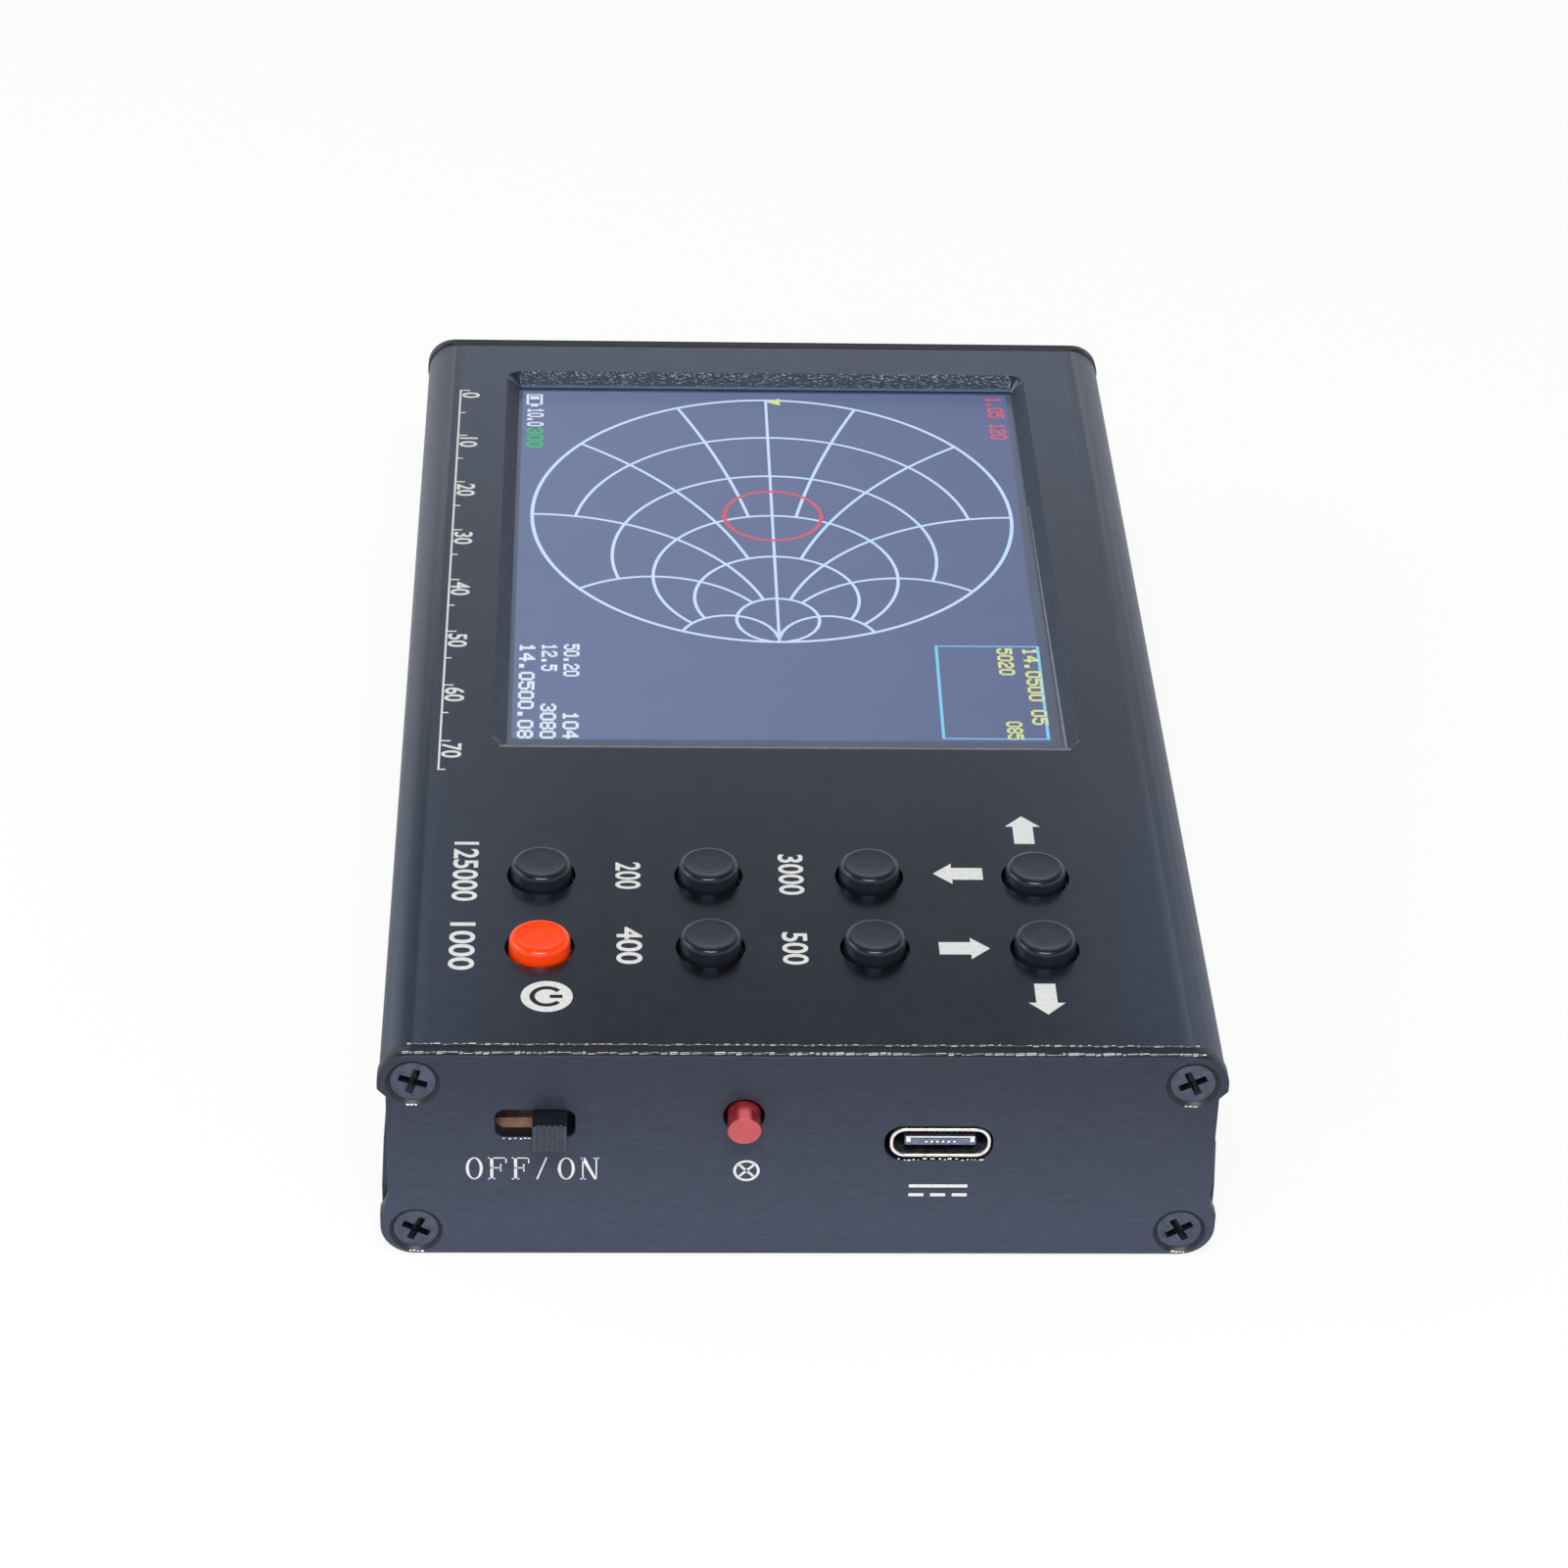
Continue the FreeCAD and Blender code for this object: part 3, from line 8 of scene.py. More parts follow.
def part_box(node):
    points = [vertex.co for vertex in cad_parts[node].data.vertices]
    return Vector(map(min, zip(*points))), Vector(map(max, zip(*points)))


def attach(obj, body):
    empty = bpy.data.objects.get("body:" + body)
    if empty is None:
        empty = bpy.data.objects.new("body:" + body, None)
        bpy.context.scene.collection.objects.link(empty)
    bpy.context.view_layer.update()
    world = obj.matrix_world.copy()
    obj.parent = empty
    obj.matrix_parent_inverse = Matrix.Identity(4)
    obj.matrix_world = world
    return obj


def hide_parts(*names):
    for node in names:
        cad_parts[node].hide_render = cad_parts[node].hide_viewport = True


# Antenna analyzer on a pale floor. Lengths are millimetres unless a comment says otherwise, and meshes are made
# in metres. A name ending in _d or _D is a distance behind the front plate's outer face.

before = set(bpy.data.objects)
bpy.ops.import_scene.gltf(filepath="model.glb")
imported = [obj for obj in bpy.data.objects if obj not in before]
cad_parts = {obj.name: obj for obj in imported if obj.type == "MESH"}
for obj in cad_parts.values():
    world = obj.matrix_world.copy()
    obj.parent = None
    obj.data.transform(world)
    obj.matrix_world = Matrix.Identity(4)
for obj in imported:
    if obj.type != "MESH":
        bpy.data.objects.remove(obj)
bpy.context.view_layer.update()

MM = 0.001
FRONT, REAR = -66.0, 66.0   # outer faces of the end plates
TOP_Z = 22.0
GLASS_Z = 20.25             # face of the display
INK_T = 0.012               # printed marks stand this far off their face
SCREEN_STEP = 0.01          # and the screen's layers this far off each other
CORNER_X, CORNER_Z, CORNER_R = 34.1, 19.0, 3.0
SCREW_X, SCREW_Z = 34.1, (2.6, 19.0)
LAMP_X, LAMP_Z = -5.2, 15.5
COAXIAL_Z = 10.1
WINDOW_HALF, WINDOW_FOOT = 27.0, 20.7       # half the opening under the window's sloping walls, and its height


def from_front(distance):
    return FRONT + distance


def add_object(name, data):
    obj = bpy.data.objects.new(name, data)
    bpy.context.scene.collection.objects.link(obj)
    return obj


# ---------------------------------------------------------------- colour and materials
def linear(colour):
    """Scene-linear RGBA of an 8-bit screen colour."""
    out = []
    for value in colour:
        v = value / 255
        out.append(v / 12.92 if v <= 0.04045 else ((v + 0.055) / 1.055) ** 2.4)
    return (*out, 1.0)


class Nodes:
    """A material's node tree, with short ways to add and join nodes."""

    def __init__(self, name):
        self.material = bpy.data.materials.new(name)
        self.material.use_nodes = True
        self.tree = self.material.node_tree
        self.shader = self.tree.nodes["Principled BSDF"]
        coordinates = self.add("ShaderNodeTexCoord")
        self.place = coordinates.outputs["Object"]
        self.normal = coordinates.outputs["Normal"]

    def add(self, kind, **values):
        node = self.tree.nodes.new(kind)
        for key, value in values.items():
            if key in node.inputs:
                node.inputs[key].default_value = value
            else:
                setattr(node, key, value)
        return node

    def join(self, out, into):
        self.tree.links.new(out, into)

    def drive(self, socket, out):
        self.join(out, self.shader.inputs[socket])

    def fix(self, **values):
        """Plain values for the shader's sockets, with _ for a space in their names."""
        for key, value in values.items():
            self.shader.inputs[key.replace("_", " ")].default_value = value

    def gloss(self, scale, low, high):
        self.drive("Roughness", self.ramp(self.noise(scale), 0.3, 0.7, low, high))

    def noise(self, scale, detail=3.0, rough=0.5, stretch=None):
        node = self.add("ShaderNodeTexNoise", Scale=scale, Detail=detail, Roughness=rough)
        place = self.place
        if stretch:
            scaled = self.add("ShaderNodeVectorMath", operation="MULTIPLY")
            self.join(place, scaled.inputs[0])
            scaled.inputs[1].default_value = stretch
            place = scaled.outputs[0]
        self.join(place, node.inputs["Vector"])
        return node.outputs["Fac"]

    def ramp(self, value, low, high, to_low=0.0, to_high=1.0):
        node = self.add("ShaderNodeMapRange")
        for key, number in (("From Min", low), ("From Max", high), ("To Min", to_low), ("To Max", to_high)):
            node.inputs[key].default_value = number
        self.join(value, node.inputs["Value"])
        return node.outputs["Result"]

    def math(self, operation, a, b):
        node = self.add("ShaderNodeMath", operation=operation)
        for socket, value in zip(node.inputs, (a, b)):
            if isinstance(value, (int, float)):
                socket.default_value = value
            else:
                self.join(value, socket)
        return node.outputs[0]

    def blend(self, factor, first, second):
        """Mix of two colours, each an 8-bit screen colour or a node's output."""
        node = self.add("ShaderNodeMix", data_type="RGBA")
        self.join(factor, node.inputs["Factor"])
        for socket, value in ((node.inputs[6], first), (node.inputs[7], second)):
            if isinstance(value, tuple):
                socket.default_value = linear(value)
            else:
                self.join(value, socket)
        return node.outputs[2]

    def times(self, first, *others):
        """Product of masks and numbers."""
        for other in others:
            first = self.math("MULTIPLY", first, other)
        return first

    def absolute(self, value):
        return self.math("ABSOLUTE", value, 0.0)

    def bump(self, height, depth, under=None):
        """Relief of a depth in metres, on top of another one if it is given."""
        node = self.add("ShaderNodeBump", Distance=depth, Strength=1.0)
        self.join(height, node.inputs["Height"])
        if under is not None:
            self.join(under, node.inputs["Normal"])
        return node.outputs["Normal"]

    def axis(self, name, vector=None):
        node = self.add("ShaderNodeSeparateXYZ")
        self.join(vector or self.place, node.inputs[0])
        return node.outputs[name]

    def fade(self, place, low, high, to_low=0.0, to_high=1.0):
        """Ramp between two places along an axis, in millimetres."""
        return self.ramp(place, low * MM, high * MM, to_low, to_high)


def finish(name, dark, light, rough, metal=0.0, cloud=400, grain=6000, grain_depth=0.0, **sockets):
    """Surface with a mottled colour, uneven gloss and a fine grain.

    cloud and grain are the noises' scales per metre, and grain_depth is in metres."""
    n = Nodes(name)
    n.drive("Base Color", n.blend(n.ramp(n.noise(cloud), 0.3, 0.7), dark, light))
    n.gloss(cloud * 2.3, *rough)
    n.fix(Metallic=metal, **sockets)
    if grain_depth:
        n.drive("Normal", n.bump(n.noise(grain, 2.0), grain_depth))
    return n.material


def case_finish():
    """Black anodised aluminium: bluish satin with a faint grain, and a painted highlight where its right corner's
    rounding begins.

    Painted reflection makes it paler and bluer towards its far end and darker towards its near end, where its
    flanks are painted paler. Its corners are duller."""
    n = Nodes("anodised_case")
    x, y = n.axis("X"), n.axis("Y")
    from_middle = n.absolute(x)
    cloud = n.ramp(n.noise(90), 0.35, 0.65)
    # painted reflection: the far end's colour is paler and bluer than the near end's
    far = n.blend(cloud, (24, 31, 46), (30, 37, 52))
    near = n.blend(cloud, (9, 9, 12), (14, 14, 17))
    colour = n.blend(n.fade(y, 45, -15), far, near)
    # painted reflection: paler flanks, most of all towards the near end
    painted_flank_reflection = n.times(n.fade(from_middle, 18, 36), n.fade(y, 30, -50, 0.0, 0.75),
                    n.fade(from_middle, 33.5, 36.8, 1.0, 0.1))
    colour = n.blend(painted_flank_reflection, colour, (48, 56, 72))
    # painted highlight on the right corner where its rounding begins
    painted_corner_highlight = n.times(n.fade(x, 33.4, 34.2), n.fade(x, 34.4, 35.6, 1.0, 0.25), n.fade(n.axis("Z"), 18.6, 19.4),
                     n.fade(y, 60, -50, 0.15, 0.5))
    colour = n.blend(painted_corner_highlight, colour, (82, 87, 98))
    speck = n.times(n.ramp(n.noise(5200, 2.0), 0.7, 0.74), 0.12)
    n.drive("Base Color", n.blend(speck, colour, (120, 126, 140)))
    corner = n.fade(from_middle, 33, 34.8, 0.0, 0.22)
    n.drive("Roughness", n.math("ADD", n.ramp(n.noise(700), 0.3, 0.7, 0.22, 0.27), corner))
    fine = n.bump(n.noise(9000, 2.0), 2e-6)
    n.drive("Normal", n.bump(n.noise(1500, 2.0), 2e-6, under=fine))
    n.fix(IOR=1.7, Specular_IOR_Level=0.8, Specular_Tint=(0.58, 0.72, 1.0, 1.0))
    return n.material


def wall_finish(name, dark, pale, low, high, foot=None):
    """Milled wall of the window: dull, paler where the noise lies between low and high.

    With foot given, the pale spots gather along the wall's upper edge, and its foot takes that colour."""
    n = Nodes(name)
    z = n.axis("Z")
    mottle_and_painted_glints = n.ramp(n.noise(3400, 2.0, 0.7, (0.7, 1.0, 2.4)), low, high)
    if foot:
        mottle_and_painted_glints = n.times(mottle_and_painted_glints, n.fade(z, 21.45, 21.75, 0.45, 1.0))
    colour = n.blend(mottle_and_painted_glints, dark, pale)
    if foot:
        colour = n.blend(n.fade(z, 20.95, 20.8), colour, foot)
    n.drive("Base Color", colour)
    n.gloss(900, 0.45, 0.6)
    n.fix(Specular_IOR_Level=0.15)
    return n.material


def key_finish():
    """Black key: satin, with painted light that makes its top paler than its side."""
    n = Nodes("key_black")
    cloud = n.ramp(n.noise(900), 0.3, 0.7)
    side = n.blend(cloud, (24, 26, 33), (29, 31, 39))
    top = n.blend(cloud, (47, 50, 60), (53, 56, 67))
    # painted light: faces that look up take the paler top colour
    n.drive("Base Color", n.blend(n.ramp(n.axis("Z", n.normal), 0.9, 0.99), side, top))
    n.gloss(2100, 0.16, 0.22)
    n.drive("Normal", n.bump(n.noise(7000, 2.0), 2e-6))
    n.fix(Specular_Tint=(0.74, 0.87, 1.0, 1.0))
    return n.material


def plate_finish():
    """Blasted and anodised plate: fine grain in faint streaks, painted reflection that makes it paler and bluer
    low down, and painted shade inside its cut-outs.
    """
    n = Nodes("blasted_plate")
    streaks = n.noise(3200, 2.0, stretch=(0.16, 1.0, 1.0))
    powder = n.noise(6500, 2.0)
    mixed = n.ramp(n.math("ADD", n.times(streaks, 0.6), n.times(powder, 0.4)), 0.35, 0.65)
    upper = n.blend(mixed, (34, 35, 47), (42, 44, 58))
    # painted reflection of the floor: paler and bluer low down
    lower = n.blend(mixed, (50, 54, 70), (58, 63, 82))
    face = n.blend(n.fade(n.axis("Z"), 20, 4), upper, lower)
    skin = 0.16             # painted shade darkens the cut-outs' walls from this depth on
    painted_cutout_shade = n.math("LESS_THAN", n.absolute(n.axis("Y")), (REAR - skin) * MM)
    n.drive("Base Color", n.blend(painted_cutout_shade, face, (19, 21, 29)))
    n.gloss(1100, 0.42, 0.5)
    n.drive("Normal", n.bump(powder, 1.2e-5))
    n.fix(Specular_Tint=(0.7, 0.82, 1.0, 1.0))
    return n.material


def knob_finish():
    """Moulded knob with painted light and shade: dark on top, greyer on its ribbed front."""
    n = Nodes("knob_black")
    mottled = n.ramp(n.noise(1500), 0.3, 0.7)
    top = n.blend(mottled, (12, 13, 18), (17, 18, 24))
    front = n.blend(mottled, (52, 55, 66), (60, 64, 76))
    # painted shade on faces that look up, painted light on the ribbed front
    upward_painted_dark = n.ramp(n.axis("Z", n.normal), 0.35, 0.7)
    n.drive("Base Color", n.blend(upward_painted_dark, front, top))
    n.gloss(3400, 0.4, 0.5)
    n.drive("Normal", n.bump(n.noise(7000, 2.0), 8e-6))
    n.fix(Specular_Tint=(0.75, 0.86, 1.0, 1.0))
    return n.material


def phenolic_finish():
    """Switch base: its bare brown paper laminate shows left of the knob, and the rest lies in shadow."""
    n = Nodes("phenolic")
    brown = n.blend(n.ramp(n.noise(1500), 0.3, 0.7), (164, 120, 100), (196, 152, 132))
    x = n.axis("X")
    lit = n.times(n.fade(x, -27.8, -26.2), n.fade(x, -22.6, -23.6), n.fade(n.axis("Z"), 15.8, 14.8))
    n.drive("Base Color", n.blend(lit, (16, 17, 24), brown))
    n.gloss(2500, 0.5, 0.65)
    return n.material


def lamp_finish():
    """Clear red lens: dark red, with a painted highlight in a pale strip along its top."""
    n = Nodes("lamp_red")
    deep = n.blend(n.ramp(n.noise(900), 0.35, 0.65), (112, 24, 34), (146, 46, 54))
    from_lamp = n.absolute(n.math("ADD", n.axis("X"), -LAMP_X * MM))
    # painted highlight down the middle of the lens, towards its front
    painted_highlight_streak = n.times(n.fade(from_lamp, 0.7, 0.3), n.fade(n.axis("Y"), -66.2, -67))
    n.drive("Base Color", n.blend(painted_highlight_streak, deep, (206, 100, 100)))
    n.gloss(2400, 0.16, 0.24)
    n.fix(Subsurface_Weight=0.15, Subsurface_Scale=0.0004)
    return n.material


def mouth_finish():
    """Port shell: plated rim; painted shade makes its inside dark, and the inside is duller."""
    n = Nodes("port_mouth_plating_painted_shade")
    bright = n.blend(n.ramp(n.noise(1500), 0.3, 0.7), (232, 226, 217), (250, 246, 239))
    # painted shade inside the shell
    dull = n.blend(n.ramp(n.noise(2200), 0.35, 0.65), (22, 22, 32), (52, 52, 62))
    depth = n.fade(n.axis("Y"), -65.72, -65.62)
    n.drive("Base Color", n.blend(depth, bright, dull))
    n.drive("Roughness", n.ramp(depth, 0.0, 1.0, 0.2, 0.55))
    n.drive("Metallic", n.ramp(depth, 0.0, 1.0, 1.0, 0.3))
    return n.material


def glow(name, left, right):
    """Lit surface whose colour drifts from its left side to its right side."""
    n = Nodes(name)
    across = n.fade(n.axis("X"), -26, 26)
    mottled = n.math("ADD", across, n.ramp(n.noise(160), 0.3, 0.7, -0.08, 0.08))
    n.drive("Emission Color", n.blend(mottled, left, right))
    n.fix(Base_Color=linear((12, 13, 16)), Emission_Strength=1.0, Specular_IOR_Level=0.25)
    n.gloss(3000, 0.35, 0.43)
    return n.material


CASE = case_finish()
PLATE = plate_finish()
KNURL = finish("screw_blacked", (70, 76, 92), (90, 97, 114), (0.3, 0.4), metal=0.85, cloud=900, grain=9000,
               grain_depth=3e-6)
KEY_BLACK = key_finish()
KEY_ORANGE = finish("key_orange", (255, 58, 0), (255, 74, 4), (0.2, 0.26), cloud=900, grain=7000,
                    grain_depth=2e-6, Subsurface_Weight=0.15, Subsurface_Radius=(1.0, 0.4, 0.2),
                    Subsurface_Scale=0.0006)
INK_WHITE = finish("ink_white", (206, 208, 207), (224, 226, 225), (0.5, 0.62), cloud=2500, grain=8000,
                   grain_depth=4e-6)
INK_BLACK = finish("ink_black", (12, 12, 14), (22, 23, 26), (0.45, 0.6), cloud=2500)
BRASS = finish("brass", (150, 118, 52), (186, 150, 74), (0.25, 0.4), metal=1.0)
STEEL = finish("steel", (140, 142, 146), (176, 178, 182), (0.28, 0.42), metal=1.0)
MOULDING = finish("black_moulding", (20, 20, 22), (32, 32, 35), (0.45, 0.6), cloud=1200, grain=5000,
                  grain_depth=6e-6)
KNOB = knob_finish()
TINNED = finish("tinned", (178, 180, 184), (208, 210, 212), (0.22, 0.36), metal=1.0, cloud=800)
DARK_SHEET = finish("dark_sheet", (34, 34, 42), (46, 46, 54), (0.4, 0.55), metal=0.8, cloud=900)
GOLD = finish("gold", (204, 158, 66), (228, 184, 92), (0.2, 0.32), metal=1.0)
NICKEL = finish("nickel", (214, 208, 196), (238, 232, 220), (0.12, 0.24), metal=1.0, cloud=900)
CREAM_PLATING_PAINTED_SHADE = mouth_finish()
LAMINATE = finish("laminate", (16, 62, 40), (26, 84, 56), (0.35, 0.5), cloud=500, grain=2500, grain_depth=6e-6)
PHENOLIC = phenolic_finish()
FOAM = finish("foam", (46, 46, 48), (66, 66, 68), (0.85, 0.95), cloud=1800, grain=3000, grain_depth=6e-5)
AMBER = finish("flex_amber", (146, 92, 26), (176, 116, 40), (0.3, 0.42), cloud=700)
SOCKET = finish("socket_plastic", (214, 208, 190), (230, 224, 208), (0.45, 0.6), cloud=900)
SCREEN_FRAME = finish("screen_frame", (58, 60, 64), (74, 76, 80), (0.3, 0.45), metal=0.9, cloud=600)
SCREEN_GLASS = finish("screen_glass", (24, 29, 38), (32, 38, 50), (0.24, 0.32), cloud=500, grain=8000,
                      grain_depth=2e-6, Emission_Color=linear((74, 84, 102)), Emission_Strength=1.0)
BACKLIGHT = finish("backlight", (222, 226, 230), (240, 242, 245), (0.4, 0.5), cloud=300)
POUCH = finish("cell_pouch", (146, 148, 152), (176, 178, 182), (0.28, 0.45), metal=0.9, cloud=250, grain=700,
               grain_depth=1.2e-4)
PTFE = finish("ptfe", (232, 230, 224), (246, 244, 240), (0.4, 0.5), cloud=900)
PLUNGER = finish("plunger_plastic", (204, 202, 194), (222, 220, 212), (0.4, 0.52), cloud=900)
TONGUE = finish("port_tongue", (74, 82, 104), (104, 114, 142), (0.3, 0.42), cloud=2600)
# near-white chips of bare metal painted bright as glints, and painted highlights on the port's tongue
PALE_METAL_AND_GLINTS = finish("bare_edge_painted_glints", (238, 240, 245), (252, 253, 255), (0.3, 0.45), metal=0.1, cloud=4000)
# painted shade in the screws' cross recesses
RECESS_PAINTED_SHADE = finish("screw_recess_painted_shade", (10, 11, 17), (34, 37, 48), (0.35, 0.5), metal=0.6, cloud=2600)
# painted shade in the seams, along edges and in the countersinks
PAINTED_SHADE = finish("painted_shade_lines", (14, 15, 23), (22, 24, 34), (0.4, 0.5), cloud=2500)
# painted highlight on the window's near lip, its right wall and the front's upper edges
PAINTED_HIGHLIGHT = finish("window_lip_painted_highlight", (98, 100, 108), (114, 116, 124), (0.3, 0.4), cloud=1200)
# painted glints: pale specks along the far wall's upper edge; its teal tone, palest at the foot, is painted
# reflection of the lit screen
FAR_WALL_PAINTED_GLINTS = wall_finish("window_far_wall_painted_glints", (40, 54, 68), (176, 184, 200), 0.54, 0.7, (72, 94, 120))
SIDE_WALL = wall_finish("window_side_wall", (53, 59, 74), (64, 70, 86), 0.35, 0.65)
LAMP = lamp_finish()
LAMP_FACE = finish("lamp_face", (174, 64, 68), (186, 78, 82), (0.3, 0.42), cloud=600)

NODE_FINISH = {
    "top_shell": CASE, "bottom_shell": CASE, "front_end_plate": PLATE, "rear_end_plate": PLATE,
    "main_board": LAMINATE, "display_board": LAMINATE, "board_spacers": BRASS, "spacer_nuts": BRASS,
    "display_board_screws": STEEL, "board_header": MOULDING, "header_pins": TINNED, "rf_shield_can": TINNED,
    "main_chips": MOULDING, "lcd_frame": SCREEN_FRAME, "lcd_glass": SCREEN_GLASS, "lcd_backlight": BACKLIGHT,
    "lcd_pad": FOAM, "lcd_flex": AMBER, "lcd_connector": SOCKET, "key_switch_bases": MOULDING,
    "key_switch_covers": TINNED, "key_snap_domes": TINNED, "slide_switch_base": PHENOLIC,
    "slide_switch_cover": DARK_SHEET, "slide_switch_knob": KNOB, "slide_switch_bridge": TINNED,
    "slide_switch_terminals": TINNED, "lamp_leads": TINNED, "usb_shell": CREAM_PLATING_PAINTED_SHADE, "usb_core": TONGUE,
    "usb_contacts": GOLD, "sma_dielectric": PTFE, "sma_contact": GOLD, "sma_washer": NICKEL,
    "sma_nut": NICKEL, "sma_body": NICKEL, "battery_cell": POUCH, "battery_pad": FOAM, "battery_tabs": NICKEL,
    "lamp_lens": LAMP,
}


# ---------------------------------------------------------------- mesh helpers
def piece(name, verts, faces, material, body="case", replaces=(), smooth=False):
    """A mesh in millimetres as an object that rides on a body."""
    mesh = bpy.data.meshes.new(name)
    mesh.from_pydata([tuple(c * MM for c in v) for v in verts], [], faces)
    mesh.validate()
    mesh.materials.append(material)
    if smooth:
        mesh.shade_smooth()
        mesh.set_sharp_from_angle(angle=math.radians(38))
    obj = add_object(name, mesh)
    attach(obj, body)
    if replaces:
        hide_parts(*replaces)


# Numerals of 5 by 7 dots. Each row of dots is a number of five bits, from the top down.
DOTS = {
    "0": (14, 17, 17, 17, 17, 17, 14), "1": (4, 12, 4, 4, 4, 4, 14), "2": (14, 17, 1, 6, 8, 16, 31),
    "3": (14, 17, 1, 6, 1, 17, 14), "4": (2, 6, 10, 18, 31, 2, 2), "5": (31, 16, 30, 1, 1, 17, 14),
    "6": (14, 16, 16, 30, 17, 17, 14), "7": (31, 1, 2, 4, 4, 8, 8), "8": (14, 17, 17, 14, 17, 17, 14),
    "9": (14, 17, 17, 15, 1, 1, 14), ".": (0, 0, 0, 0, 0, 12, 12), " ": (0, 0, 0, 0, 0, 0, 0),
}


class Sheet:
    """Flat shapes gathered into one mesh. at(a, b) gives the place of a point of the sheet."""

    def __init__(self, at):
        self.at = at
        self.verts = []
        self.faces = []

    def polygon(self, points):
        start = len(self.verts)
        self.verts += [self.at(a, b) for a, b in points]
        self.faces.append(list(range(start, start + len(points))))

    def strip(self, points, width, closed=False):
        """Line of even width along the points."""
        count = len(points)
        start = len(self.verts)
        for i, (a, b) in enumerate(points):
            before = points[i - 1] if closed or i else points[0]
            after = points[(i + 1) % count] if closed or i < count - 1 else points[-1]
            da, db = after[0] - before[0], after[1] - before[1]
            size = math.hypot(da, db) or 1.0
            na, nb = -db / size * width / 2, da / size * width / 2
            self.verts += [self.at(a + na, b + nb), self.at(a - na, b - nb)]
        for i in range(count if closed else count - 1):
            j = (i + 1) % count
            self.faces.append([start + 2 * i, start + 2 * i + 1, start + 2 * j + 1, start + 2 * j])

    def rectangle(self, a0, a1, b0, b1):
        self.polygon([(a0, b0), (a1, b0), (a1, b1), (a0, b1)])

    def disc(self, a, b, radius, sides=64):
        self.polygon(arc_points(a, b, radius, 0, 360, sides)[:-1])

    def ring(self, a, b, radius, width, sides=96):
        self.strip(arc_points(a, b, radius, 0, 360, sides)[:-1], width, closed=True)

    def number(self, text, a, b, height, length=None, bold=0.0):
        """Plain numerals from the built-in font, with their lower left corner at (a, b).

        They are as long as length where it is given. bold is what is added all round, as a share of the size.
        The font's numerals are 0.69 of its size tall."""
        curve = bpy.data.curves.new("numerals", "FONT")
        curve.body = text
        curve.offset = bold
        holder = add_object("numerals", curve)
        bpy.context.view_layer.update()
        mesh = bpy.data.meshes.new_from_object(holder)
        left = min(v.co.x for v in mesh.vertices)
        right = max(v.co.x for v in mesh.vertices)
        scale = height / (0.69 + 2 * bold)
        across = length / (right - left) if length else scale
        start = len(self.verts)
        self.verts += [self.at(a + (v.co.x - left) * across, b + (v.co.y + bold) * scale)
                       for v in mesh.vertices]
        self.faces += [[start + i for i in p.vertices] for p in mesh.polygons]
        bpy.data.objects.remove(holder)
        bpy.data.curves.remove(curve)
        bpy.data.meshes.remove(mesh)

    def cells(self, text, a, b, height, length):
        """Numerals of 5 by 7 dots, as a small display draws them. A numeral and its gap are six dots wide."""
        pitch = length / (len(text) - 1 / 6)
        dot, row = pitch / 6, height / 7
        over = 0.2          # share of a dot by which it reaches into the next one
        for place, character in enumerate(text):
            for line, bits in enumerate(DOTS[character]):
                low = b + (6 - line) * row
                for column in range(5):
                    if bits >> (4 - column) & 1:
                        left = a + place * pitch + column * dot
                        self.rectangle(left - over * dot, left + (1 + over) * dot,
                                       low - over * row, low + (1 + over) * row)

    def make(self, name, material):
        piece(name, self.verts, self.faces, material)


def arc_points(a, b, radius, start, end, steps):
    """Points from one angle to the other, in degrees."""
    out = []
    for i in range(steps + 1):
        angle = math.radians(start + (end - start) * i / steps)
        out.append((a + radius * math.cos(angle), b + radius * math.sin(angle)))
    return out


def turned(profile, sides, at):
    """Verts and faces turned from a list of (radius, height); a radius of 0 closes an end."""
    verts, faces, rings = [], [], []
    for radius, height in profile:
        if radius == 0:
            rings.append([len(verts)])
            verts.append(at(0.0, 0.0, height))
            continue
        rings.append(list(range(len(verts), len(verts) + sides)))
        for i in range(sides):
            angle = 2 * math.pi * i / sides
            verts.append(at(radius * math.cos(angle), radius * math.sin(angle), height))
    for low, high in zip(rings, rings[1:]):
        for i in range(sides):
            j = (i + 1) % sides
            if len(low) == 1:
                faces.append([low[0], high[j], high[i]])
            elif len(high) == 1:
                faces.append([low[i], low[j], high[0]])
            else:
                faces.append([low[i], low[j], high[j], high[i]])
    return verts, faces


# Where sheets lie: these turn two places on a sheet into a point, or make a function that does.
def on_top(a, b_d):
    return (a, from_front(b_d), TOP_Z + INK_T)


def on_front(a, b):
    return (a, FRONT - INK_T, b)


def on_screen(level):
    """Face of one of the screen's layers."""
    return lambda a, b_d: (a, from_front(b_d), GLASS_Z + SCREEN_STEP * level)


def reading_down(x, y_d, z):
    """Sheet read towards the front plate, with its letters' tops to the right."""
    return lambda a, b: (x + b, from_front(y_d - a), z)


# ---------------------------------------------------------------- CAD nodes: finishes and softened edges
for node_name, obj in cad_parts.items():
    made = NODE_FINISH.get(node_name)
    if node_name.startswith("key_cap_"):
        made = KEY_ORANGE if node_name.endswith("power") else KEY_BLACK
    if node_name.startswith("key_plunger_"):
        made = PLUNGER
    if node_name.endswith("plate_screws"):
        made = KNURL
    obj.data.materials.clear()
    obj.data.materials.append(made)


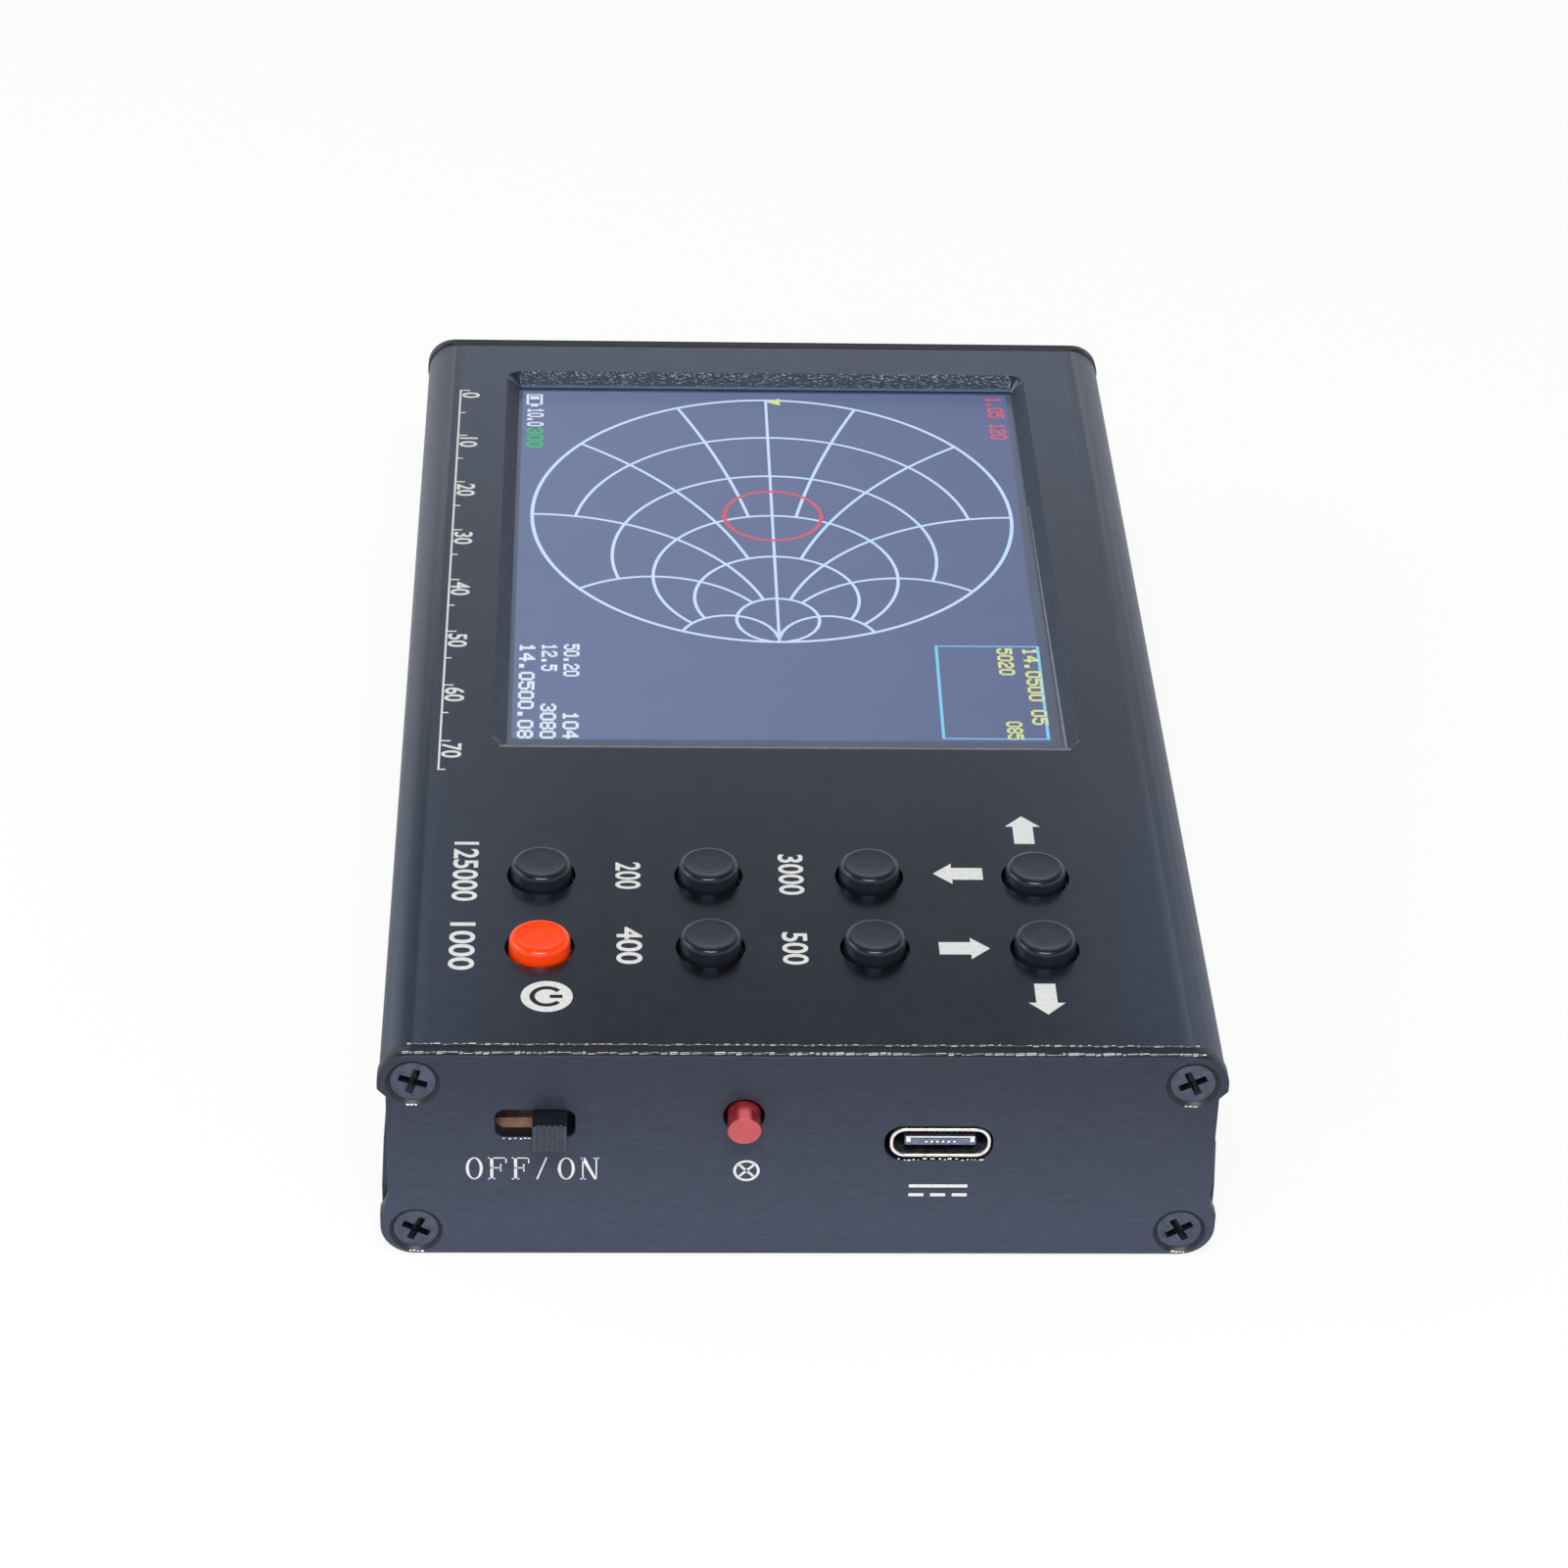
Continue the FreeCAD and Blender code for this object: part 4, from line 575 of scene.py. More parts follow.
def soften(node, width):
    """Small rounding on a CAD node's sharp edges, as added modifiers."""
    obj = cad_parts[node]
    weld = obj.modifiers.new("weld", "WELD")
    weld.merge_threshold = 2e-6
    flat = obj.modifiers.new("planes", "DECIMATE")
    flat.decimate_type = "DISSOLVE"
    flat.angle_limit = math.radians(0.6)
    bevel = obj.modifiers.new("edges", "BEVEL")
    bevel.width = width * MM
    bevel.segments = 2
    bevel.limit_method = "ANGLE"
    bevel.angle_limit = math.radians(28)
    bevel.harden_normals = True


for node_name in ("top_shell", "bottom_shell", "front_end_plate", "rear_end_plate", "slide_switch_knob"):
    soften(node_name, 0.12)
soften("usb_shell", 0.06)
soften("sma_nut", 0.2)


# ---------------------------------------------------------------- key caps
def key_cap(name):
    """Turned cap with a rounded rim and a dished top, closed round the top of its plunger."""
    node = "key_cap_" + name
    low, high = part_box(node)
    x, y = (low.x + high.x) / 2 / MM, (low.y + high.y) / 2 / MM
    under, top = low.z / MM, high.z / MM
    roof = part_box("key_plunger_" + name)[1].z / MM + 0.02
    foot_r, top_r, rounding, bore_r = 2.85, 2.75, 0.55, 1.72
    profile = [(0, roof), (bore_r, roof), (bore_r, under), (foot_r, under)]
    for step in range(7):
        angle = math.radians(15 * step)
        profile.append((top_r - rounding + rounding * math.cos(angle),
                        top - rounding + rounding * math.sin(angle)))
    for radius, depth in ((2.1, 0.012), (1.8, 0.03), (1.0, 0.04), (0, 0.042)):
        profile.append((radius, top - depth))
    verts, faces = turned(profile, 72, lambda a, b, z: (x + a, y + b, z))
    orange = name == "power"
    piece("cap_" + name, verts, faces, KEY_ORANGE if orange else KEY_BLACK, "key_" + name,
          (node,), smooth=True)


for node_name in sorted(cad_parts):
    if node_name.startswith("key_cap_"):
        key_cap(node_name[len("key_cap_"):])


# ---------------------------------------------------------------- plate screws
def cross_outline(reach, width):
    """Twelve corners of a cross."""
    w = width / 2
    return [(reach, -w), (reach, w), (w, w), (w, reach), (-w, reach), (-w, w), (-reach, w), (-reach, -w),
            (-w, -w), (-w, -reach), (w, -reach), (w, -w)]


def plate_screw(bm, x, z, face_y, inward, turn):
    """Countersunk screw with a cross recess, turned by so many degrees. The recess takes the second finish, which
    is painted shade.
    """
    sides = 48
    head_r, shank_r, sunk, length = 2.05, 1.2, 0.3, 8.0
    broken, tip_long, tip_in = 0.07, 0.4, 0.3
    mouth_cross, floor_cross, recess = (1.3, 0.66), (0.8, 0.4), 0.75    # reach and width; depth
    c, s = math.cos(math.radians(turn)), math.sin(math.radians(turn))

    def at(a, b, back):
        return bm.verts.new(((x + a * c - b * s) * MM, (face_y + inward * (sunk + back)) * MM,
                             (z + a * s + b * c) * MM))

    def ring(radius, back):
        return [at(a, b, back) for a, b in arc_points(0.0, 0.0, radius, 0, 360, sides)[:-1]]

    def walls(first, second):
        for i in range(len(first)):
            j = (i + 1) % len(first)
            bm.faces.new([first[i], first[j], second[j], second[i]])

    rim, edge, neck = ring(head_r - broken, 0.0), ring(head_r, broken), ring(shank_r, head_r - shank_r)
    tip_edge, tip = ring(shank_r, length - tip_long), ring(shank_r - tip_in, length)
    for first, second in ((rim, edge), (edge, neck), (neck, tip_edge), (tip_edge, tip)):
        walls(first, second)
    bm.faces.new(tip)
    mouth = [at(a, b, 0.0) for a, b in cross_outline(*mouth_cross)]
    floor = [at(a, b, recess) for a, b in cross_outline(*floor_cross)]
    outside = len(bm.faces)
    walls(mouth, floor)
    bm.faces.new(floor)
    for face in list(bm.faces)[outside:]:
        face.material_index = 1
    edges = []
    for loop in (rim, mouth):
        for i in range(len(loop)):
            edges.append(bm.edges.get((loop[i], loop[(i + 1) % len(loop)])))
    bmesh.ops.triangle_fill(bm, edges=edges, use_beauty=True)


def screw_places():
    """Lower left, lower right, upper left and upper right, as the front plate is seen."""
    return [(sx * SCREW_X, z) for z in SCREW_Z for sx in (-1, 1)]


def plate_screws(node, face_y, inward, turns):
    """The four screws of one end plate as one mesh; inward is the way into the case along Y."""
    bm = bmesh.new()
    for (x, z), turn in zip(screw_places(), turns):
        plate_screw(bm, x, z, face_y, inward, turn)
    bmesh.ops.recalc_face_normals(bm, faces=bm.faces)
    mesh = bpy.data.meshes.new(node)
    bm.to_mesh(mesh)
    bm.free()
    mesh.materials.append(KNURL)
    mesh.materials.append(RECESS_PAINTED_SHADE)
    mesh.shade_smooth()
    mesh.set_sharp_from_angle(angle=math.radians(30))
    obj = add_object(node.replace("plate_screws", "cross_screws"), mesh)
    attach(obj, "case")
    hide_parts(node)


plate_screws("front_plate_screws", FRONT, 1, (64, 30, 72, 26))
plate_screws("rear_plate_screws", REAR, -1, (20, 55, 8, 71))


# ---------------------------------------------------------------- coaxial port
def coaxial_body():
    """Flange, legs and a barrel with its real thread: 1/4 inch, 36 to the inch."""
    z = COAXIAL_Z
    end, flange_to = 76.1, 64.5
    flange_from = flange_to - 1.8
    crest, root, relief, pitch = 3.175, 2.86, 2.95, 25.4 / 36
    thread_from, run_in, run_out = end - 7.3, 0.25, 0.3
    mouth_r, bore_r, bore_from = 2.3, 2.07, end - 1.95
    sides, per_turn = 64, 10
    verts, faces, rings = [], [], []

    def ring(y, radius):
        rings.append(len(verts))
        for i in range(sides):
            angle = 2 * math.pi * i / sides
            r = radius(angle, y) if callable(radius) else radius
            verts.append((r * math.cos(angle), y, z + r * math.sin(angle)))

    def thread(angle, y):
        """Radius of the thread, which fades out at both of its ends."""
        wave = abs(((y / pitch - angle / (2 * math.pi)) % 1.0) * 2 - 1)
        groove = min(1.0, max(0.0, 1.25 * wave - 0.12))
        whole = max(0.0, min(1.0, (y - thread_from) / run_in, (end - y) / run_out))
        return crest - (crest - root) * groove * whole - 0.28 * (1 - whole)

    for y, radius in ((flange_to, crest), (REAR, crest), (REAR, relief), (thread_from, relief)):
        ring(y, radius)
    steps = int((end - thread_from) / pitch * per_turn)
    for i in range(steps + 1):
        ring(thread_from + (end - thread_from) * i / steps, thread)
    for y, radius in ((end, mouth_r), (bore_from, mouth_r), (bore_from, bore_r), (flange_from, bore_r)):
        ring(y, radius)
    for first, second in zip(rings, rings[1:]):
        for i in range(sides):
            j = (i + 1) % sides
            faces.append([first + i, first + j, second + j, second + i])

    def block(x0, x1, y0, y1, z0, z1):
        s = len(verts)
        verts.extend([(x, y, zz) for zz in (z0, z1) for y in (y0, y1) for x in (x0, x1)])
        for q in ((0, 2, 3, 1), (4, 5, 7, 6), (0, 1, 5, 4), (2, 6, 7, 3), (0, 4, 6, 2), (1, 3, 7, 5)):
            faces.append([s + i for i in q])

    half, hole = 4.0, 2.1
    for x0, x1, z0, z1 in ((-half, half, -half, -hole), (-half, half, hole, half), (-half, -hole, -hole, hole),
                           (hole, half, -hole, hole)):
        block(x0, x1, flange_from, flange_to, z + z0, z + z1)
    leg, leg_long, leg_x, leg_z = 1.2, 4.2, 2.8, 1.4
    for side in (-1, 1):
        x0 = side * leg_x - leg / 2
        for above in (leg_z, -leg_z):
            z0 = z + above - leg / 2
            block(x0, x0 + leg, flange_from - leg_long, flange_from, z0, z0 + leg)
    piece("coaxial_barrel", verts, faces, NICKEL, "case", ("sma_body",), smooth=True)


coaxial_body()


def washer():
    """Flat washer with broken edges behind the nut."""
    hole_r, outer_r, thick = 3.23, 4.6, 0.5
    profile = [(hole_r, 0.0), (hole_r, thick), (outer_r - 0.15, thick), (outer_r, thick - 0.12), (outer_r, 0.0),
               (hole_r, 0.0)]
    verts, faces = turned(profile, 72, lambda a, b, h: (a, REAR + h, COAXIAL_Z + b))
    piece("flat_washer", verts, faces, NICKEL, "case", ("sma_washer",), smooth=True)


washer()


# ---------------------------------------------------------------- status lamp
def lamp():
    """Turned lens with a small front lip, drooping a little in its hole, and its frosted front."""
    droop = math.radians(5.0)
    pivot = -65.2
    flange = [(0, -1.6), (1.9, -1.6), (1.9, -0.9), (1.46, -0.9)]
    lip = [(1.46, 2.42), (1.5, 2.46), (1.5, 2.62), (1.46, 2.68), (1.3, 2.68)]
    front = [(1.46, 2.68), (1.4, 2.71), (0.9, 2.74), (0, 2.75)]

    def at(a, b, ahead):
        """ahead is how far towards the viewer a point lies from the pivot."""
        return (LAMP_X + a, pivot - ahead * math.cos(droop) - b * math.sin(droop),
                LAMP_Z + b * math.cos(droop) - ahead * math.sin(droop))

    verts, faces = turned(flange + lip, 64, at)
    piece("lamp_lens_turned", verts, faces, LAMP, "case", ("lamp_lens",), smooth=True)
    verts, faces = turned(front, 64, at)
    piece("lamp_front", verts, faces, LAMP_FACE, "case", smooth=True)


lamp()


# ---------------------------------------------------------------- painted glints, highlights and shade on the front and the window
def flecks(sheet, seed, low, high, b, spread, lengths, height, gap):
    """Short bright flecks, painted glints on chipped edges, in a broken row from low to high, each up to spread
    away from b.
    """
    random_source = random.Random(seed)
    a = low
    while a < high:
        length = random_source.uniform(*lengths)
        middle = b + random_source.uniform(-spread, spread)
        half = height * random_source.uniform(0.6, 1.3) / 2
        sheet.polygon([(a, middle - half), (a + length, middle - half * 0.7), (a + length, middle + half),
                       (a, middle + half * 0.8)])
        a += length + random_source.uniform(*gap)


def front_edges():
    """Painted shade along the seam, round the corners and along the plate's upper edge, and painted highlights
    under the flecks.
    """
    seam_d, plate_edge_d, case_highlight_d, plate_highlight_d = (1.42, 1.58), (0.08, 0.24), (1.66, 1.76), (0.4, 0.54)
    # painted shade in the seam and along the plate's upper edge
    dark = Sheet(on_top)
    dark.rectangle(-CORNER_X, CORNER_X, *seam_d)
    dark.rectangle(-33.6, 33.6, *plate_edge_d)
    radius, steps = CORNER_R + 0.02, 16
    for side in (-1, 1):
        dark.at = lambda angle, b_d: (side * (CORNER_X + radius * math.sin(angle)), from_front(b_d),
                                      CORNER_Z + radius * math.cos(angle))
        for step in range(steps):
            dark.rectangle(math.pi / 2 * step / steps, math.pi / 2 * (step + 1) / steps, 1.5, 1.68)
    dark.make("front_edge_painted_shade", PAINTED_SHADE)
    # painted highlights under the flecks
    dull = Sheet(on_top)
    dull.rectangle(-34.6, 34.6, *case_highlight_d)
    dull.rectangle(-35.0, 34.8, *plate_highlight_d)
    dull.make("front_edge_painted_highlights", PAINTED_HIGHLIGHT)


def bare_flecks():
    """Painted glints: near-white chips of bare metal on the case's and the plate's upper edges, and under the
    port, the switch's slot and the screws.
    """
    bright = Sheet(on_top)
    flecks(bright, 11, -34.6, 34.6, 1.72, 0.05, (0.1, 0.6), 0.2, (0.08, 0.6))
    flecks(bright, 12, -35.0, 34.8, 0.47, 0.05, (0.2, 1.0), 0.32, (0.05, 0.26))
    bright.at = on_front
    flecks(bright, 13, 8.5, 15.9, 10.76, 0.12, (0.08, 0.4), 0.13, (0.1, 0.4))
    flecks(bright, 14, -26.3, -23.9, 12.98, 0.05, (0.1, 0.4), 0.14, (0.08, 0.4))
    for sx in (-1, 1):
        for z in SCREW_Z:
            x, seed = sx * SCREW_X, 20 + int(z) + sx
            flecks(bright, seed, x - 0.6, x + 0.5, z - 2.3, 0.06, (0.15, 0.35), 0.16, (0.06, 0.2))
    bright.make("bare_flecks", PALE_METAL_AND_GLINTS)


def countersinks():
    """Painted shade: dark rings on the walls of the front plate's countersinks."""
    inner_r, outer_r, depth = 2.06, 2.34, 0.28
    for i, (x, z) in enumerate(screw_places()):
        verts, faces = turned([(inner_r, depth), (outer_r, 0.0)], 64,
                              lambda a, b, h: (x + a, FRONT + h - INK_T, z + b))
        piece("countersink_%d" % i, verts, faces, PAINTED_SHADE, "case", smooth=True)


def window_edges():
    """Painted highlights on the window's near lip and along its right wall, and skins on its milled walls."""
    lip = Sheet(on_top)
    lip.rectangle(-27.6, 27.3, 49.05, 49.5)
    lip.at = lambda a, b_d: (a - 0.02, from_front(b_d), WINDOW_FOOT + 0.02 + a - WINDOW_HALF)
    lip.polygon([(27.0, 50.9), (27.24, 50.9), (27.1, 98.0), (27.02, 98.0)])
    lip.make("window_lip_painted_highlight", PAINTED_HIGHLIGHT)
    near_d, far_d, rise, skin = 50.86, 123.34, 1.3, 0.015
    ring = []
    for up in (0.0, rise):
        out = up - skin
        for sx, y_d in ((-1, near_d - out), (1, near_d - out), (1, far_d + out), (-1, far_d + out)):
            ring.append((sx * (WINDOW_HALF + out), from_front(y_d), WINDOW_FOOT + up))
    piece("window_far_wall_painted_glints", ring, [(2, 3, 7, 6)], FAR_WALL_PAINTED_GLINTS, "case")
    piece("window_side_walls", ring, [(1, 2, 6, 5), (3, 0, 4, 7), (0, 1, 5, 4)], SIDE_WALL, "case")


def tongue_plating():
    """Painted highlights along the top edge and at both ends of the front of the charging port's tongue, and its
    contacts.
    """
    middle, tip_d = 12.2, 0.335
    tongue = Sheet(lambda a, b: (middle + a, from_front(tip_d), b))
    tongue.rectangle(-3.05, 3.05, 12.94, 13.06)
    for left in (-3.0, 2.65):
        tongue.rectangle(left, left + 0.35, 12.45, 12.98)
    for i in range(6):
        tongue.disc(0.5 * i - 1.25, 12.48, 0.11, 12)
    tongue.make("tongue_plating", PALE_METAL_AND_GLINTS)


front_edges()
bare_flecks()
countersinks()
window_edges()
tongue_plating()


# ---------------------------------------------------------------- marks on the top face
def arrow(sheet, tip, way):
    """Arrow with its tip at one point, pointing along way."""
    length, head, head_half, stem_half = 4.6, 1.75, 1.65, 0.95
    wx, wy = way
    outline = [(0, 0), (-head, head_half), (-head, stem_half), (-length, stem_half), (-length, -stem_half),
               (-head, -stem_half), (-head, -head_half)]
    sheet.polygon([(tip[0] + a * wx - b * wy, tip[1] + a * wy + b * wx) for a, b in outline])


arrows = Sheet(on_top)
for tip, way in (((21.6, 37.66), (0, 1)), ((12.72, 28.1), (-1, 0)), ((17.21, 16.31), (1, 0)),
                 ((21.7, 6.35), (0, -1))):
    arrow(arrows, tip, way)
arrows.make("printed_arrows", INK_WHITE)

POWER_X, POWER_D = -22.57, 8.75
disc = Sheet(on_top)
disc.disc(POWER_X, POWER_D, 2.3)
disc.make("power_mark_disc", INK_WHITE)
stroke = Sheet(lambda a, b_d: (a, from_front(b_d), TOP_Z + 2 * INK_T))
stroke.strip(arc_points(POWER_X, POWER_D, 1.29, 38, 322, 48), 0.46)
stroke.rectangle(POWER_X + 0.27, POWER_X + 1.39, POWER_D - 0.24, POWER_D + 0.24)
stroke.make("power_mark_stroke", INK_BLACK)

# Text, x of its foot, where it starts and its length.
LABELS = (("125000", -31.4, 32.9, 9.5), ("1000", -31.4, 20.0, 7.3), ("200", -16.5, 29.7, 4.3),
          ("400", -16.4, 19.4, 5.7), ("3000", -1.5, 31.1, 6.5), ("500", -1.5, 18.7, 5.0))
labels = Sheet(on_top)
for text, x, y_d, length in LABELS:
    labels.at = reading_down(x, y_d, TOP_Z + INK_T)
    labels.number(text, 0, 0, 2.3, length, 0.018)
labels.make("key_numbers", INK_WHITE)

TICK_STEP, TICKS, TICK_HALF = 5, 16, 0.11
scale = Sheet(reading_down(-33.2, 120.1, TOP_Z + INK_T))
for tick in range(TICKS):
    place = TICK_STEP * tick
    scale.rectangle(place - TICK_HALF, place + TICK_HALF, 0.0, 0.55 if tick % 2 else 0.9)
for tick in range(0, TICKS, 2):
    place = TICK_STEP * tick
    scale.number(str(place), place + 0.45, 0.1, 1.9, bold=0.02)
scale.rectangle(-TICK_HALF, TICK_STEP * (TICKS - 1) + TICK_HALF, -0.2, 0.0)
scale.make("side_scale", INK_WHITE)


# ---------------------------------------------------------------- marks on the front plate
LETTER_FOOT, LETTER_H = 8.42, 2.45


def serif_letter(sheet, letter, a0, a1):
    """One of the capitals O, F and N with small serifs, from a0 to a1."""
    thick, thin, serif = 0.27, 0.12, 0.2
    b, top, middle_b = LETTER_FOOT, LETTER_FOOT + LETTER_H, LETTER_FOOT + LETTER_H / 2
    if letter == "O":
        middle, half, steps = (a0 + a1) / 2, (a1 - a0) / 2, 48
        start = len(sheet.verts)
        for wide, high in ((half, LETTER_H / 2), (half - thick, LETTER_H / 2 - thin)):
            for t in range(steps):
                angle = 2 * math.pi * t / steps
                sheet.verts.append(sheet.at(middle + wide * math.cos(angle), middle_b + high * math.sin(angle)))
        for i in range(steps):
            j = (i + 1) % steps
            sheet.faces.append([start + i, start + j, start + steps + j, start + steps + i])
    elif letter == "F":
        stem, arm = a0 + serif, a0 + 0.72 * (a1 - a0)
        sheet.rectangle(stem, stem + thick, b, top)
        sheet.rectangle(a0, stem + thick + serif, b, b + thin)
        sheet.rectangle(a0, a1, top - thin, top)
        sheet.rectangle(a1 - thin, a1, b + 0.74 * LETTER_H, top)
        sheet.rectangle(stem, arm, middle_b, middle_b + thin)
        sheet.rectangle(arm - thin, arm, b + 0.36 * LETTER_H, b + 0.7 * LETTER_H)
    else:
        left, right = a0 + serif, a1 - serif
        sheet.rectangle(left, left + thin, b, top)
        sheet.rectangle(right - thin, right, b, top)
        sheet.polygon([(a0 + 0.06, top), (a0 + 0.06 + thick + thin, top), (right, b), (right - thick + 0.04, b)])
        sheet.rectangle(a0, left + thin + serif, b, b + thin)
        sheet.rectangle(right - thin - serif, a1, top - thin, top)


front = Sheet(on_front)
for letter, a0, a1 in (("O", -29.6, -28.1), ("F", -27.65, -26.0), ("F", -25.55, -24.0), ("O", -21.5, -20.0),
                       ("N", -19.55, -17.85)):
    serif_letter(front, letter, a0, a1)
SLASH_TOP = LETTER_FOOT + LETTER_H
front.polygon([(-23.42, LETTER_FOOT), (-23.25, LETTER_FOOT), (-22.4, SLASH_TOP), (-22.57, SLASH_TOP)])
SIGN_X, SIGN_Z, SIGN_LINE = -4.85, 9.45, 0.24       # lamp sign
front.ring(SIGN_X, SIGN_Z, 1.05, SIGN_LINE)
for turn in (45, 135):
    c, s = math.cos(math.radians(turn)), math.sin(math.radians(turn))
    front.strip([(SIGN_X - c, SIGN_Z - s), (SIGN_X + c, SIGN_Z + s)], SIGN_LINE)
BAR_X, BAR_T, DASH, DASH_STEP = 9.6, 0.35, 1.34, 1.93       # direct-current sign
front.rectangle(BAR_X, BAR_X + 5.2, 7.6, 7.6 + BAR_T)
for i in range(3):
    left = BAR_X + DASH_STEP * i
    front.rectangle(left, left + DASH, 6.6, 6.6 + BAR_T)
front.make("front_marks", INK_WHITE)


# ---------------------------------------------------------------- lit screen
GROUND = glow("screen_ground", (107, 119, 155), (95, 107, 145))
LINE = glow("screen_line", (200, 224, 253), (194, 220, 251))
WHITE_LIT = glow("screen_white", (222, 232, 248), (222, 232, 248))
RED_LIT = glow("screen_red", (206, 92, 112), (212, 98, 118))
YELLOW_LIT = glow("screen_yellow", (220, 224, 140), (218, 224, 144))
CYAN_LIT = glow("screen_cyan", (116, 202, 238), (126, 206, 240))
GREEN_LIT = glow("screen_green", (62, 186, 112), (70, 190, 118))

ground = Sheet(on_screen(1))
ground.polygon([(-26.55, 53.2), (25.95, 53.2), (25.85, 82.0), (26.45, 123.3), (-26.6, 123.3)])
ground.make("screen_ground", GROUND)

CHART_X, CHART_D, CHART_R = -0.05, 96.5, 25.15
ARC_LINE, ARC_STEPS = 0.34, 60
# Each arc's resistance or reactance, and how far it runs along the other one.
ARCS = ((0.2, 1), (0.5, 2), (1, 5), (2, 5), (5, 60))


def on_chart(resistance, reactance):
    """Place of an impedance on the chart: open at the near end, short at the far end."""
    z = complex(resistance, reactance)
    gamma = (z - 1) / (z + 1)
    return (CHART_X + CHART_R * gamma.imag, CHART_D - CHART_R * gamma.real)


chart = Sheet(on_screen(2))
chart.ring(CHART_X, CHART_D, CHART_R, 0.38, 160)
chart.strip([(CHART_X, CHART_D - CHART_R), (CHART_X, CHART_D + CHART_R)], 0.3)
for resistance, reach in ARCS:
    turn = math.atan(reach) / ARC_STEPS
    chart.strip([on_chart(resistance, math.tan(turn * i)) for i in range(-ARC_STEPS, ARC_STEPS + 1)], ARC_LINE)
for reactance, reach in ARCS:
    turn = math.atan(reach) / ARC_STEPS
    for sign in (-1, 1):
        chart.strip([on_chart(math.tan(turn * i), sign * reactance) for i in range(ARC_STEPS + 1)], ARC_LINE)
chart.make("screen_chart", LINE)

TEXT_LEVEL = 3
TEXT_Z = GLASS_Z + SCREEN_STEP * TEXT_LEVEL


def lines(name, material, rows, extra=None):
    """Rows of numerals on the screen, each as text, x of its foot, where it starts and ends, and height."""
    sheet = Sheet(on_screen(TEXT_LEVEL))
    if extra:
        extra(sheet)
    for text, x, start_d, end_d, height in rows:
        sheet.at = reading_down(x, start_d, TEXT_Z)
        sheet.cells(text, 0, 0, height, start_d - end_d)
    sheet.make(name, material)


def battery_sign(sheet):
    sheet.at = reading_down(-26.2, 122.6, TEXT_Z)
    sheet.strip([(0.15, 0.15), (2.3, 0.15), (2.3, 1.65), (0.15, 1.65)], 0.34, closed=True)
    sheet.rectangle(2.4, 2.8, 0.5, 1.3)
    sheet.rectangle(0.5, 1.2, 0.4, 1.4)


lines("screen_red", RED_LIT, [("1.05 120", 24.2, 122.7, 113.4, 1.7)],
      lambda sheet: sheet.ring(0.0, CHART_D, 5.1, 0.4, 72))
lines("screen_yellow", YELLOW_LIT, [("14.0500 05", 24.3, 70.4, 56.3, 1.5), ("5020", 21.7, 70.4, 65.4, 1.5),
                                    ("085", 21.7, 56.8, 53.6, 1.5)],
      lambda sheet: sheet.polygon([(0.0, 121.2), (1.5, 120.5), (1.5, 122.1)]))
lines("screen_white", WHITE_LIT, [("10.0", -26.0, 119.3, 115.4, 1.7), ("14.0500.08", -26.0, 70.6, 53.3, 1.5),
                                  ("12.5", -23.8, 70.6, 65.6, 1.5), ("3080", -23.8, 59.5, 53.3, 1.5),
                                  ("50.20", -21.6, 70.6, 64.6, 1.5), ("104", -21.6, 58.0, 53.3, 1.5)],
      battery_sign)
lines("screen_green", GREEN_LIT, [("300", -26.0, 115.0, 110.7, 1.7)])

cyan = Sheet(on_screen(TEXT_LEVEL))
cyan.strip([(15.4, 53.7), (25.6, 53.7), (25.85, 70.75), (15.65, 70.75)], 0.35, closed=True)
cyan.make("screen_cyan", CYAN_LIT)


# ---------------------------------------------------------------- floor, light and camera
def studio_floor():
    """Matte floor. To the camera and in reflections it is mostly plain white."""
    half, under = 3, -0.0004        # metres
    white_share = 0.88              # the rest shows the object's shadow
    mesh = bpy.data.meshes.new("studio_floor")
    mesh.from_pydata([(-half, -half, under), (half, -half, under), (half, half, under), (-half, half, under)],
                     [], [(0, 1, 2, 3)])
    obj = add_object("studio_floor", mesh)
    material = bpy.data.materials.new("pale_floor")
    material.use_nodes = True
    tree = material.node_tree
    tree.nodes.clear()
    out = tree.nodes.new("ShaderNodeOutputMaterial")
    mix = tree.nodes.new("ShaderNodeMixShader")
    matte = tree.nodes.new("ShaderNodeBsdfDiffuse")
    lit = tree.nodes.new("ShaderNodeEmission")
    path = tree.nodes.new("ShaderNodeLightPath")
    seen = tree.nodes.new("ShaderNodeMath")
    share = tree.nodes.new("ShaderNodeMath")
    matte.inputs["Color"].default_value = (0.95, 0.95, 0.95, 1)
    lit.inputs["Color"].default_value = (1, 1, 1, 1)
    seen.operation = "MAXIMUM"
    share.operation = "MULTIPLY"
    share.inputs[1].default_value = white_share
    for start, into in ((path.outputs["Is Camera Ray"], seen.inputs[0]),
                        (path.outputs["Is Glossy Ray"], seen.inputs[1]), (seen.outputs[0], share.inputs[0]),
                        (share.outputs[0], mix.inputs[0]), (matte.outputs[0], mix.inputs[1]),
                        (lit.outputs[0], mix.inputs[2]), (mix.outputs[0], out.inputs["Surface"])):
        tree.links.new(start, into)
    mesh.materials.append(material)


